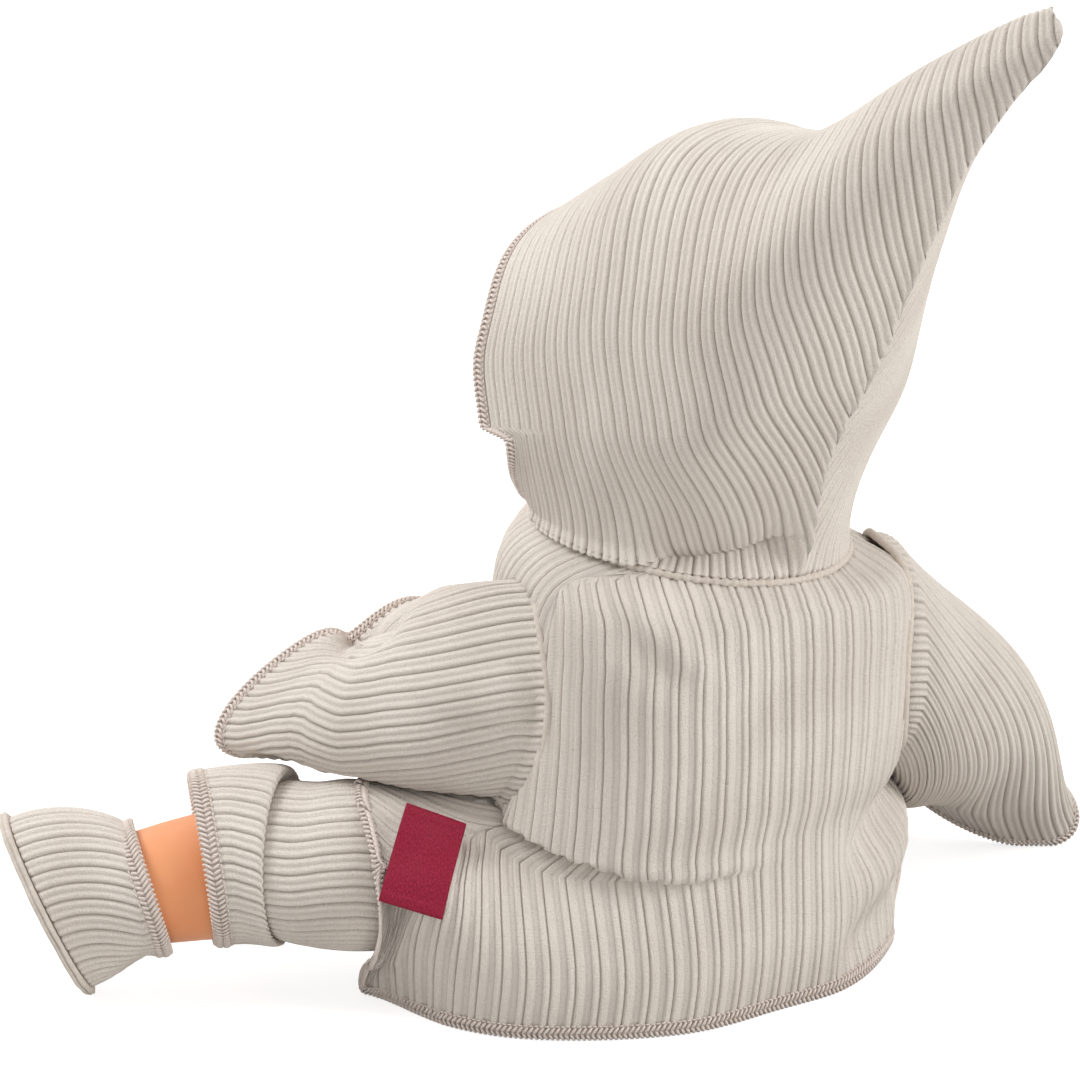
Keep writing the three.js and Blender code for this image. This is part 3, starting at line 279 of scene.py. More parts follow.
def tent_over(balls, clearance, centre, across):
    """Offsets from a centre, lengthened where needed so that the cloth goes round the spheres."""
    centres, radii = balls
    size = np.linalg.norm(across, axis=1)
    way = across / size[:, None]
    longest = size.copy()
    for ball, radius in zip(centres, radii + clearance):
        to_ball = ball - centre
        ahead = (to_ball * way).sum(1)
        off = np.sqrt(np.maximum((to_ball**2).sum(1) - ahead**2, 0))
        far_side = ahead + np.sqrt(np.maximum(radius**2 - off**2, 0))
        needed = lerp(size, np.maximum(size, far_side), smooth((radius - off) / (0.5 * radius)))
        longest = np.maximum(longest, needed)
    return way * longest[:, None]


LEG_BALLS = tuple(
    np.concatenate(parts) for parts in zip(*(balls_along(LEGS[side], TROUSER_ROWS) for side in LEGS))
)

# The jacket's hem and the line over the thighs: angle, x, y, z. Angle 0 is the front, 90 the doll's left.
HEM_LINE = [
    [-180, 0, 42, 0.3], [-150, -26.04, 40, 0.3], [-125, -46.6, 26.04, 0.3], [-105, -58, 10, 0.3],
    [-90, -74, -9, 10.5], [-78, -77, -28, 28.88], [-66, -72, -43, 46.2], [-52, -56, -50, 52.5],
    [-38, -43, -50, 46.2], [-20, -18.4, -47, 28], [0, 3, -46, 24], [25, 27.6, -46, 32],
    [45, 52, -47, 46.2], [60, 70, -44, 52.5], [74, 86, -24, 53.5], [84, 91, -6, 45.15],
    [92, 91, -3, 26.25], [100, 86, -22, 0.3], [112, 76, 7, 0.3], [130, 58.48, 26.04, 0.3],
    [155, 27.52, 41, 0.3],
]
SKIRT_LINE = [
    [-180, 0, 45, 19.95], [-150, -26.04, 42, 19.95], [-125, -47, 29.4, 19.95], [-105, -58.5, 14, 21],
    [-90, -67, 0, 26.25], [-78, -67, -15, 39.38], [-66, -62, -31, 52.5], [-52, -50, -39, 53.5],
    [-38, -40, -44, 49.88], [-20, -18.4, -47, 37.8], [0, 3, -46, 34.13], [25, 27.6, -46, 37.8],
    [45, 47, -42, 49.88], [60, 64, -30, 54.5], [74, 74, -14, 54.5], [84, 80, -1, 50.93],
    [92, 82, 7, 45.15], [100, 82, 11, 36.75], [112, 73, 19, 26.25], [130, 58.48, 29.4, 21],
    [155, 27.52, 44, 19.95],
]
JACKET_ROWS = [
    [0.4, 49, 57, 44, 0, 2.1], [0.52, 61, 56, 45, 2, 2.2], [0.7, 85, 53, 43, 4, 2.6],
    [0.88, 109, 50, 41, 4, 2.9], [1, 118, 40, 40, 0, 2],
]
WAIST = 0.4
TENT = SOLID_CLOTH + 2


def upper_jacket(angle, up):
    z, wide, deep, shift, roundness = np.moveaxis(along(JACKET_ROWS, up), -1, 0)
    turn = np.radians(angle)
    x = wide * power(np.sin(turn), 2 / roundness)
    y = shift - deep * power(np.cos(turn), 2 / roundness)
    return np.stack([x, y, z], -1)


# Soft folds of the jacket: from, to, half-width, height
JACKET_FOLDS = [
    ((-30, 44, 38), (-60, 8, 50), 7, -5.5),
    ((-36, 40, 28), (-62, 6, 36), 6, 2.5),
    ((-30, 42, 12), (-62, 6, 22), 8, -4),
    ((41, 33, 109), (33, 42, 99), 4.5, -1.8),
    ((36, 38, 112), (26, 44, 103), 4.5, 1.3),
    ((24, 43, 112), (20, 45, 102), 5, -1.2),
]


def distance_to(places, start, stop):
    """How far each place lies from a straight line between two places."""
    a = np.array(start, float)
    way = np.array(stop, float) - a
    t = np.clip((places - a) @ way / (way @ way), 0, 1)
    return np.linalg.norm(places - (a + t[:, None] * way), axis=1)


def folded(place):
    """Places on the jacket, with its soft folds."""
    place = place.copy()
    for a, b, radius, height in JACKET_FOLDS:
        near = distance_to(place, a, b)
        place[:, :2] *= (1 + height * bump(near, 0, radius) / np.hypot(place[:, 0], place[:, 1]))[:, None]
    return place


def jacket_surface(angle, up):
    """Place on the jacket, by angle round the body and height from 0 at the hem to 1 at the neckline."""
    angle, up = (np.asarray(a, float).ravel() for a in np.broadcast_arrays(angle, up))
    place = upper_jacket(angle, np.maximum(up, WAIST))
    low = up < WAIST
    if low.any():
        knots = [0, WAIST / 2, WAIST, WAIST + 0.1]
        lines = [around(HEM_LINE, angle[low]), around(SKIRT_LINE, angle[low])]
        lines += [upper_jacket(angle[low], np.full(low.sum(), k)) for k in knots[2:]]
        place[low] = through(knots, np.stack(lines), up[low])
    turn = angle % 360
    behind = smooth((turn - 88) / 8) * (1 - smooth((turn - 140) / 45))
    fold_at = lerp(0.455, 0.36, smooth((turn - 91) / 65))
    above = (up - fold_at) * 120
    lip = 0.5 + 0.5 * np.tanh(above / 0.9)
    overhang = 4.2 * lip * np.exp(-np.abs(above) / 11) - 4.4 * (1 - lip) * np.exp(-np.abs(above) / 9)
    place[:, :2] *= (1 + behind * overhang / np.hypot(place[:, 0], place[:, 1]))[:, None]
    place[:, 2] -= 3.4 * behind * lip * np.exp(-np.abs(above) / 7)
    place = folded(place)
    place = clear_of(LEG_BALLS, TENT, place)
    place = neck_tilt(place)
    place[:, 2] = np.maximum(place[:, 2], FLOOR)
    return place


def jacket_reach(y, z):
    """How far out the jacket's side lies."""
    table = np.linspace(WAIST, 1, 400)
    up = np.interp(z, along(JACKET_ROWS, table)[:, 0], table)
    _, wide, deep, shift, roundness = np.moveaxis(along(JACKET_ROWS, up), -1, 0)
    away = np.minimum(np.abs(y - shift) / deep, 1)
    return wide * (1 - away**roundness) ** (1 / roundness)


# Hood outlines: brim and back seam by share of the height, ridge by share of the way back
HOOD_BASE = NECKLINE_HEIGHT + SEAM_GAP
BRIM_LINE = [
    [0, -26, HOOD_BASE], [0.06, -27, 122], [0.2, -27, 134], [0.42, -28, 151],
    [0.58, -31, 165], [0.75, -32, 178], [0.9, -37, 190], [1, -42, 196],
]
SEAM_LINE = [
    [0, NECKLINE_RADIUS, HOOD_BASE], [0.24, 57, 157], [0.44, 74, 187], [0.58, 85, 211],
    [0.85, 107, 253], [0.96, 120.5, 272], [1, 117, 278],
]
RIDGE_LINE = [
    [0, -42, 196], [0.25, -17, 213.5], [0.42, 4, 227], [0.55, 20, 228.5], [0.7, 47, 235], [0.85, 81, 258],
    [0.96, 107, 273.5], [1, 117, 278],
]
HOOD_HALF_WIDTH = 48.8
HOOD_FRONT_ANGLE = 50
HOOD_GATHER = 0.16
SEAM_TWIST = 8.0
# Lowest line of the hood where it bags over its collar, by share of the way round the neck
BAG_LINE = [[0, 119.2], [0.45, 120.4], [0.64, 121.4], [0.746, 124], [0.885, 127.5], [1, 131.5]]
BAG_SHARE = 0.09
BAG_OVER = 1 - math.asin(BAG_SHARE ** (1 / 1.3)) * 2 / math.pi


def notch(q, back):
    """The brim steps in below the cheek, and the step runs back as a short crease."""
    fade = np.exp(-((back / 0.13) ** 2))
    under = 1 - smooth((q - 0.398) / 0.012)
    step = under * np.exp(-(((0.4 - q) / 0.16) ** 2))
    return 9.5 * fade * step


def neck_tilt(place):
    """The neckline lies higher at the doll's left front than at its right back."""
    turn = np.arctan2(place[:, 0], -place[:, 1])
    place = place.copy()
    place[:, 2] += (2.4 + 5.6 * np.cos(turn - np.radians(60))) * bump(place[:, 2], NECKLINE_HEIGHT, 9)
    return place


def hood_form(back, over, folded=True):
    """Place on the hood, by share of the way back from the brim and of the way over the crown.

    The way over runs from -1 at the right foot through 0 at the crown to 1 at the left foot.
    """
    back, over = (np.asarray(a, float).ravel() for a in np.broadcast_arrays(back, over))
    back = np.clip(back, 0, 1)
    right = over < 0
    side = np.where(right, -1.0, 1.0)
    q = np.sin((1 - np.clip(np.abs(over), 0, 1)) * np.pi / 2) ** 1.3
    gathered = back + HOOD_GATHER * np.sin(np.pi * back)
    angle = np.radians(lerp(HOOD_FRONT_ANGLE, 180, gathered))
    foot = np.stack([-NECKLINE_RADIUS * np.cos(angle), np.full_like(q, HOOD_BASE)], -1)
    crown = along(RIDGE_LINE, back)
    bag = along(BAG_LINE, gathered)[:, 0]
    fold_at = np.clip((bag - HOOD_BASE) / (crown[:, 1] - HOOD_BASE), 0.01, 0.3)
    over_fold = (q - BAG_SHARE) / (1 - BAG_SHARE)
    q = np.where(over_fold < 0, q * fold_at / BAG_SHARE, lerp(fold_at, 1, np.maximum(over_fold, 0)))
    brim, seam = along(BRIM_LINE, q), along(SEAM_LINE, q)
    ends = [along(line, [0.0, 1.0]) for line in (BRIM_LINE, SEAM_LINE)]
    share = q[:, None]
    mixed = lerp(foot, crown, share)
    mixed += (1 - back)[:, None] * (brim - lerp(ends[0][0], ends[0][1], share))
    mixed += back[:, None] * (seam - lerp(ends[1][0], ends[1][1], share))
    half = HOOD_HALF_WIDTH * (1 - back**4) ** 0.75 * lerp(0.97, 1, smooth(back / 0.25))
    half = half * np.where(right, 1 - 0.1 * smooth((back - 0.45) / 0.4) * smooth(q / 0.4), 1)
    twist = SEAM_TWIST * smooth(q / 0.25) * (1 - smooth((q - 0.7) / 0.3)) * smooth((back - 0.45) / 0.55)
    base = NECKLINE_RADIUS * np.sin(angle)
    widest = 0.42
    above = np.maximum(0, 1 - (np.maximum(q - widest, 0) / (1 - widest)) ** 2.6) ** (1 / 2.2)
    x = np.where(q < widest, lerp(base, half, smooth(q / widest)), half * above)
    x = side * x + twist
    y, z = mixed[:, 0], mixed[:, 1]
    if not folded:
        return np.stack([x, y, z], -1)
    y = y + notch(q, back)
    shown = np.where(right, 0, 1 - smooth((gathered - 0.92) / 0.08))
    above = smooth((over_fold + 0.004) / 0.012)
    rise = np.maximum(over_fold, 0) * (crown[:, 1] - bag)
    rolled = 1 - smooth((gathered - 0.5) / 0.14)
    lip = rolled * np.exp(-rise / 5) * smooth(back / 0.1)
    wide = 1 + (3.6 * lip - 5.5 * (1 - rolled) * np.exp(-rise / 9)) / np.hypot(x, y)
    ring = NECKLINE_RADIUS - lerp(5, 1.2, rolled) * np.clip(over_fold / BAG_SHARE + 1, 0, 1)
    bagged_x = lerp(side * ring * np.sin(angle), x * wide, above)
    bagged_y = lerp(-ring * np.cos(angle), y * wide, above)
    x, y = lerp(x, bagged_x, shown), lerp(y, bagged_y, shown)
    z = z - 2.6 * lip * above * shown
    return neck_tilt(np.stack([x, y, np.maximum(z, HOOD_BASE)], -1))


def hood_flat(back, over):
    """The hood before its folds, along which its ribs are measured."""
    return hood_form(back, over, folded=False)


# Sleeves: two points of the middle line, the crease along the sleeve, and the cuff's two half-widths
CUFFS = {
    "left": {
        "bend": (66, -31, 77), "cuff": (71, -67, 70),
        "wrinkle": 5.84, "sway": 0.6, "depth": 0.72, "width": 0.26, "front": 1.0,
        "up": unit(np.array([0.3, 0.1, 0.95])) * 14, "back": unit(np.array([0.95, 0.02, -0.32])) * 35,
    },
    "right": {
        "bend": (-72, 13, 55), "cuff": (-109, -10, 15.5),
        "wrinkle": 1.2, "sway": 0.0, "depth": 0.15, "width": 0.4, "front": 2.3,
        "up": unit(np.array([-0.84, 0.44, -0.32])) * 23, "back": unit(np.array([-0.1, -0.1, -1.0])) * 15,
    },
}
ARM_BALLS = {side: balls_along(ARMS[side], ARM_ROOM) for side in ARMS}


def sleeve_surface(side):
    """Place on a sleeve, by angle round it and share of its length."""
    sign = 1 if side == "left" else -1
    cloth = CUFFS[side]
    forward = SHOULDER_FORWARD[side]
    start = np.array([sign * (SHOULDER_SPACING + SEAM_GAP), forward, ARMHOLE_HEIGHT])
    bend, cuff = np.array(cloth["bend"], float), np.array(cloth["cuff"], float)

    def between(a, b, share):
        size = lerp(np.linalg.norm(a), np.linalg.norm(b), share)
        return unit(lerp(a, b, share[:, None])) * size[:, None]

    def surface(angle, share):
        angle, share = (np.asarray(a, float).ravel() for a in np.broadcast_arrays(angle, share))
        t = share[:, None]
        centre = start * (1 - t) ** 2 + 2 * bend * t * (1 - t) + cuff * t**2
        up = between(np.array([0, 0, ARMHOLE_HALF_HEIGHT]), cloth["up"], smooth(share))
        back = between(np.array([0, ARMHOLE_HALF_DEPTH, 0]), cloth["back"], smooth(share))
        way = cloth["wrinkle"] + cloth["sway"] * smooth((1 - share) / 0.4)
        turn = (angle - way + np.pi) % (2 * np.pi) - np.pi
        deep = cloth["depth"] * smooth((share - 0.45) / 0.25) * (1 - 0.5 * smooth((share - 0.85) / 0.15))
        crease = 1 - deep * bump(turn, 0, cloth["width"])
        across = up * (np.cos(angle) * crease)[:, None] + back * (np.sin(angle) * crease)[:, None]
        opened = smooth((share - 0.25) / 0.35)
        across[:, 1] *= np.where(across[:, 1] < 0, lerp(1, cloth["front"], opened), 1)
        place = centre + across
        if side == "left":
            place = clear_of(ARM_BALLS[side], SLEEVE_CLEARANCE, place)
        else:
            held = 1 - 0.7 * smooth((share - 0.93) / 0.07)
            tented = tent_over(ARM_BALLS[side], SLEEVE_CLEARANCE, centre, across)
            place = centre + lerp(across, tented, held[:, None])
        place = clear_of(LEG_BALLS, TENT + SLEEVE_CLEARANCE, place)
        side_wall = np.stack([sign * jacket_reach(place[:, 1], place[:, 2]), place[:, 1], place[:, 2]], -1)
        reach = np.abs(folded(side_wall)[:, 0]) + SEAM_GAP
        clear = reach + 0.6 * smooth(share * 6)
        x = np.where(share <= 0.001, reach, np.maximum(sign * place[:, 0], clear))
        return np.stack([sign * x, place[:, 1], np.maximum(place[:, 2], FLOOR)], -1)

    return surface


def foot_place(side, share, angle, grow):
    """Place round the foot, from 0 at the ankle to 1 at the sole."""
    limb = LEGS[side]
    centre, axis, _, _ = limb.frame(limb.length)
    normal = unit(lerp(axis, SOLES[side], smooth(share)[:, None]))
    toes = TOES[side]
    length_way = unit(toes - normal * (normal @ toes)[:, None])
    across = np.cross(normal, length_way)
    swell = np.sin(np.minimum(share, 1) * np.pi / 2)
    middle = centre + SOLES[side] * (FOOT_DROP * share)[:, None]
    middle = middle + length_way * (FOOT_FORWARD * swell)[:, None]
    long = lerp(ANKLE_RADIUS, FOOT_HALF_LENGTH, swell) + grow
    wide = lerp(ANKLE_RADIUS, FOOT_HALF_WIDTH, swell) + grow
    return middle + length_way * (long * np.cos(angle))[:, None] + across * (wide * np.sin(angle))[:, None]


# Ribbed knit: two round ribs in a repeat, with a sharp groove on one side and a soft one between them.
# Across the back the cloth is stretched, which opens the soft groove into a flat band.
# Each row: share of the repeat, height from 0 to 1, and a painted shade and highlight: below 1 darkens the
# grooves, above 1 lights the rib tops.
RELAXED = (4.35, 1.0, [
    (0.0, 0.0, 0.7), (0.05, 0.3, 0.87), (0.12, 0.78, 1.0), (0.23, 1.0, 1.05), (0.34, 0.9, 1.02),
    (0.43, 0.66, 0.96), (0.5, 0.56, 0.9), (0.57, 0.66, 0.96), (0.66, 0.9, 1.02), (0.77, 1.0, 1.06),
    (0.88, 0.74, 0.98), (0.95, 0.26, 0.86), (1.0, 0.0, 0.7),
])
STRETCHED = (6.3, 0.9, [
    (0.0, 0.0, 0.72), (0.03, 0.4, 0.9), (0.075, 0.95, 1.1), (0.13, 0.86, 1.0), (0.3, 0.85, 1.02),
    (0.37, 0.5, 0.95), (0.42, 0.34, 0.86), (0.5, 0.42, 0.95), (0.62, 0.42, 0.95), (0.675, 0.3, 0.84),
    (0.71, 0.66, 1.0), (0.745, 1.05, 1.1), (0.8, 0.9, 1.0), (0.92, 0.9, 1.02),
    (0.965, 0.45, 0.9), (1.0, 0.0, 0.72),
])


def rib_lines(low, high, knit):
    """Every place across the cloth where the rib's profile bends."""
    pitch, _, profile = knit
    shares = np.array([row[0] for row in profile[:-1]])
    repeats = np.arange(math.floor(low / pitch), math.ceil(high / pitch) + 1)
    return (repeats[:, None] + shares).ravel() * pitch


def rib_relief(across, knit):
    pitch, height, profile = knit
    shares, heights, _ = zip(*profile)
    return height * (np.interp((across / pitch) % 1, shares, heights) - 0.55)


# Painted shade in the grooves and painted highlight on the rib tops, as a factor on the knit's colour
def rib_shade_and_highlight(across, knit):
    pitch, _, profile = knit
    shares, _, tones = zip(*profile)
    return np.interp((across / pitch) % 1, shares, tones)


# How far an overlocked edge presses the ribs flat, and how finely cloth is measured across
PRESSED_WIDTH = 3.6
MEASURES = 150


class Knit:
    """A cut piece of ribbed cloth laid over surface(u, v), with its ribs on lines of equal spacing."""

    def __init__(self, surface, rows, start, stop, zero, knit=RELAXED, outward=1.0, ruler=None):
        rows = np.asarray(rows, float)
        count = len(rows)
        low, high, origin = (np.broadcast_to(np.asarray(a, float), count) for a in (start, stop, zero))
        u = low[:, None] + (high - low)[:, None] * np.linspace(0, 1, MEASURES)
        measured = ruler or surface
        places = measured(u.ravel(), np.repeat(rows, MEASURES)).reshape(count, MEASURES, 3)
        steps = np.linalg.norm(np.diff(places, axis=1), axis=2)
        length = np.concatenate([np.zeros((count, 1)), np.cumsum(steps, axis=1)], axis=1)
        at_zero = np.array([np.interp(origin[j], u[j], length[j]) for j in range(count)])
        table = length - at_zero[:, None]
        self.knit = knit
        self.lines = rib_lines(table[:, 0].min(), table[:, -1].max(), knit)
        first = np.searchsorted(self.lines, table[:, 0], side="right") - 1
        final = np.searchsorted(self.lines, table[:, -1], side="left")
        self.first = np.clip(first, 0, len(self.lines) - 1)
        self.final = np.clip(final, 0, len(self.lines) - 1)
        self.across = np.clip(self.lines[None, :], table[:, :1], table[:, -1:])
        self.u = np.array([np.interp(self.across[j], table[j], u[j]) for j in range(count)])
        self.v = np.broadcast_to(rows[:, None], self.u.shape)
        self.shape = self.u.shape
        self.surface = surface
        self.places = surface(self.u.ravel(), self.v.ravel())
        du = 0.002 * (high - low).mean()
        dv = 0.002 * (rows[-1] - rows[0])

        def at(a, b):
            return surface(
                (self.u + a).clip(low.min(), high.max()).ravel(), (self.v + b).clip(rows[0], rows[-1]).ravel()
            )

        normals = outward * np.cross(at(du, 0) - at(-du, 0), at(0, dv) - at(0, -dv))
        self.normals = self.even(unit(normals).reshape(*self.shape, 3)).reshape(-1, 3)
        grid = self.places.reshape(*self.shape, 3)
        lengths = np.linalg.norm(np.diff(grid, axis=0), axis=2)
        self.down = np.concatenate([np.zeros((1, self.shape[1])), np.cumsum(lengths, axis=0)])
        self.edge = np.full(self.shape, 99.0)
        self.keep = None

    def even(self, values):
        """Values with their jumps from row to row and line to line softened."""
        for axis in (0, 1):
            padded = np.concatenate(
                [values.take([0], axis), values, values.take([-1], axis)], axis=axis
            )
            ahead = padded.take(range(2, padded.shape[axis]), axis)
            behind = padded.take(range(0, padded.shape[axis] - 2), axis)
            values = 0.5 * values + 0.25 * (ahead + behind)
        return unit(values)

    def index(self):
        k = np.clip(np.arange(self.shape[1])[None, :], self.first[:, None], self.final[:, None])
        return np.arange(self.shape[0])[:, None] * self.shape[1] + k

    def push(self, heights):
        self.places = self.places + self.normals * np.asarray(heights).reshape(-1, 1)

    def ribs(self):
        """Raises the ribs, which an overlocked edge presses flat."""
        free = smooth((self.edge.ravel() - 0.4) / PRESSED_WIDTH)
        self.push(rib_relief(self.across.ravel(), self.knit) * lerp(0.35, 1, free))

    def mesh(self, name, material):
        index = self.index()
        a, b, c, d = index[:-1, :-1], index[:-1, 1:], index[1:, 1:], index[1:, :-1]
        quads = np.stack([a, b, c, d], -1).reshape(-1, 4)
        if self.keep is not None:
            quads = quads[self.keep.reshape(-1)]
        relief = rib_relief(self.across.ravel(), self.knit)
        inner = self.places - self.normals * (panel_size("cloth") + 0.4 * relief)[:, None]
        # The rib attribute carries painted shade in the grooves and painted highlight on the rib tops
        tone = rib_shade_and_highlight(self.across.ravel(), self.knit)
        data = {
            "cloth": np.stack([self.across.ravel(), self.down.ravel(), self.edge.ravel()], -1),
            "rib": np.stack([tone, tone, tone], -1),
        }
        return two_sided(name, self.places, inner, quads, material, data, self.normals)


def two_sided(name, outer, inner, quads, material, data=None, normals=None):
    """A closed skin of cloth from its outer and inner places and the faces of the outer side."""
    faces = []
    for quad in quads.tolist():
        face = [p for k, p in enumerate(quad) if p != quad[k - 1]]
        if len(face) > 2 and len(set(face)) == len(face):
            faces.append(face)
    sample = faces[len(faces) // 2]
    if normals is not None:
        p = outer[sample[:3]]
        if np.cross(p[1] - p[0], p[2] - p[0]) @ normals[sample[0]] < 0:
            faces = [face[::-1] for face in faces]
    used = np.unique(np.concatenate([np.array(face) for face in faces]))
    new = np.full(len(outer), -1)
    new[used] = np.arange(len(used))
    count = len(used)
    faces = [[int(new[p]) for p in face] for face in faces]
    edges = {}
    for face in faces:
        for k, p in enumerate(face):
            edges[(p, face[(k + 1) % len(face)])] = True
    rim = [(p, q) for p, q in edges if (q, p) not in edges]
    shell = faces + [[p + count for p in face[::-1]] for face in faces]
    shell += [[q, p, p + count, q + count] for p, q in rim]
    values = {key: np.concatenate([value[used], value[used]]) for key, value in (data or {}).items()}
    return mesh_object(name, np.concatenate([outer[used], inner[used]]), shell, material, values)


def mesh_object(name, places, faces, material, data=None, shade=True):
    """A new mesh object from places in millimetres."""
    mesh = bpy.data.meshes.new(name)
    mesh.from_pydata((np.asarray(places, float) * MM).tolist(), [], faces)
    for key, values in (data or {}).items():
        attribute = mesh.attributes.new(key, "FLOAT_VECTOR", "POINT")
        attribute.data.foreach_set("vector", np.asarray(values, np.float32).ravel())
    mesh.materials.append(material)
    mesh.update()
    if shade:
        mesh.shade_smooth()
    piece = bpy.data.objects.new(name, mesh)
    bpy.context.scene.collection.objects.link(piece)
    return piece


def skin(rings, closed_ends=True):
    """Faces over closed rings of equal count, capped at both ends."""
    rings = np.asarray(rings, float)
    count, sides = rings.shape[:2]
    places = rings.reshape(-1, 3)
    k, i = np.meshgrid(np.arange(count - 1), np.arange(sides), indexing="ij")
    j = (i + 1) % sides
    faces = np.stack([k * sides + i, k * sides + j, (k + 1) * sides + j, (k + 1) * sides + i], -1)
    faces = faces.reshape(-1, 4).tolist()
    if closed_ends:
        faces.append(list(range(sides))[::-1])
        faces.append([(count - 1) * sides + i for i in range(sides)])
    return places, faces


def facing_out(places, faces):
    """The faces, turned round if they enclose a negative volume."""
    places = np.asarray(places)
    volume = 0.0
    for face in faces:
        p = places[face]
        for k in range(1, len(face) - 1):
            volume += np.dot(p[0], np.cross(p[k], p[k + 1]))
    return [face[::-1] for face in faces] if volume < 0 else faces


def ring_object(name, rings, material, data=None):
    places, faces = skin(rings)
    return mesh_object(name, places, facing_out(places, faces), material, data)


class Threads:
    """Short lengths of sewing thread, gathered into one mesh."""

    def __init__(self):
        self.places = []
        self.faces = []
        self.count = 0

    def lay(self, starts, stops, lift, radius, sides=5, bow=0.25, ends=0.35):
        """One thread from each start to each stop, bowed along lift and tapered at its ends."""
        starts, stops, lift = (np.atleast_2d(np.asarray(a, float)) for a in (starts, stops, lift))
        way = unit(stops - starts)
        e = unit(lift - way * (lift * way).sum(1, keepdims=True))
        f = np.cross(way, e)
        shares = np.array([0, 0.12, 0.5, 0.88, 1])
        sizes = radius * np.array([ends, 0.85, 1, 0.85, ends])
        rise = bow * np.array([0, 0.5, 1, 0.5, 0])
        turn = 2 * np.pi * np.arange(sides) / sides
        middle = starts[:, None] + (stops - starts)[:, None] * shares[:, None] + e[:, None] * rise[:, None]
        ring = np.cos(turn)[:, None] * e[:, None, None] + np.sin(turn)[:, None] * f[:, None, None]
        places = middle[:, :, None] + ring * sizes[:, None, None]
        n, m = len(starts), len(shares)
        base = self.count + np.arange(n)[:, None, None] * m * sides
        k, i = np.meshgrid(np.arange(m - 1), np.arange(sides), indexing="ij")
        j = (i + 1) % sides
        quads = np.stack([k * sides + i, k * sides + j, (k + 1) * sides + j, (k + 1) * sides + i], -1)
        self.faces += (base + quads.reshape(1, -1, 4)).reshape(-1, 4)[:, ::-1].tolist()
        for first in (0, (m - 1) * sides):
            cap = np.arange(sides) + first
            cap = cap if first == 0 else cap[::-1]
            self.faces += (base[:, 0] + cap).tolist()
        self.places.append(places.reshape(-1, 3))
        self.count += n * m * sides

    def mesh(self, name, material):
        places = np.concatenate(self.places)
        return mesh_object(name, places, self.faces, material)


def spaced(path, step, closed=False):
    """Evenly spaced places in a path, as shares of its rows."""
    path = np.asarray(path, float)
    line = np.vstack([path, path[:1]]) if closed else path
    length = np.concatenate([[0], np.cumsum(np.linalg.norm(np.diff(line, axis=0), axis=1))])
    count = max(int(round(length[-1] / step)), 2)
    places = np.linspace(0, length[-1], count + 1)
    return np.interp(places, length, np.arange(len(line)))


def sampled(values, rows, closed=False):
    """Values at places that lie between the rows of a list."""
    values = np.asarray(values, float)
    if closed:
        values = np.vstack([values, values[:1]])
    low = np.clip(np.floor(rows).astype(int), 0, len(values) - 2)
    share = (rows - low)[:, None]
    return values[low] * (1 - share) + values[low + 1] * share


def overlock(name, path, normals, inward):
    """Chevron stitches over a cut edge, with loops round it and a row of needle stitches inside."""
    threads = Threads()
    cloth, width, lift = panel_size("cloth"), panel_size("overlock_width"), 0.35
    rows = spaced(path, panel_size("stitch"))
    p, n, w = (sampled(a, rows) for a in (path, normals, inward))
    n, w = unit(n), unit(w)
    ahead = p[1:] - p[:-1]
    p, n, w = p[:-1], n[:-1], w[:-1]
    edge = p + n * lift
    middle = p + w * (0.5 * width) + n * (lift + 0.25)
    inside = p + w * width + n * lift
    threads.lay(edge + ahead * 0.9 - n * 0.2, middle, n, 0.42)
    threads.lay(inside + ahead * 0.9, middle, n, 0.42)
    threads.lay(edge + ahead * 0.9, edge + ahead * 0.6 - n * (lift + cloth), -w, 0.4, bow=0.35)
    threads.lay(inside + w * 0.3, inside + w * 0.3 + ahead * 0.8, n, 0.26, bow=0.12)
    under = p - n * cloth
    threads.lay(under + ahead * 0.6, under + w * (0.6 * width), -n, 0.38)
    return threads.mesh(name + "_overlock", finishes()["thread"])


def panel_size(name):
    """A size from the panel, in millimetres."""
    return round(getattr(bpy.context.scene.doll_sizes, name) / MM, 4)


# Materials
def linear(code):
    """An sRGB hex colour as linear red, green, blue and alpha."""
    parts = [int(code[k : k + 2], 16) / 255 for k in (1, 3, 5)]
    parts = [p / 12.92 if p <= 0.04045 else ((p + 0.055) / 1.055) ** 2.4 for p in parts]
    return (*parts, 1.0)


def add_node(tree, kind, inputs=None, stops=(), **settings):
    """One node with its settings and the stops of its ramp; an input is a value, or an output to link."""
    node = tree.nodes.new(kind)
    for key, value in settings.items():
        setattr(node, key, value)
    for key, value in (inputs or {}).items():
        if isinstance(value, bpy.types.NodeSocket):
            tree.links.new(value, node.inputs[key])
        else:
            node.inputs[key].default_value = value
    if stops:
        elements = node.color_ramp.elements
        while len(elements) < len(stops):
            elements.new(0.5)
        for element, (place, colour) in zip(elements, stops):
            element.position = place
            element.color = linear(colour) if isinstance(colour, str) else (colour, colour, colour, 1)
    return node


def new_material(name, plain):
    """A material, its nodes and its shader, which has these plain settings."""
    material = bpy.data.materials.new(name)
    material.use_nodes = True
    tree = material.node_tree
    shader = tree.nodes["Principled BSDF"]
    for key, value in plain.items():
        shader.inputs[key].default_value = value
    return material, tree, shader


# Settings of a mix that multiplies two colours
TIMES = {"data_type": "RGBA", "blend_type": "MULTIPLY"}


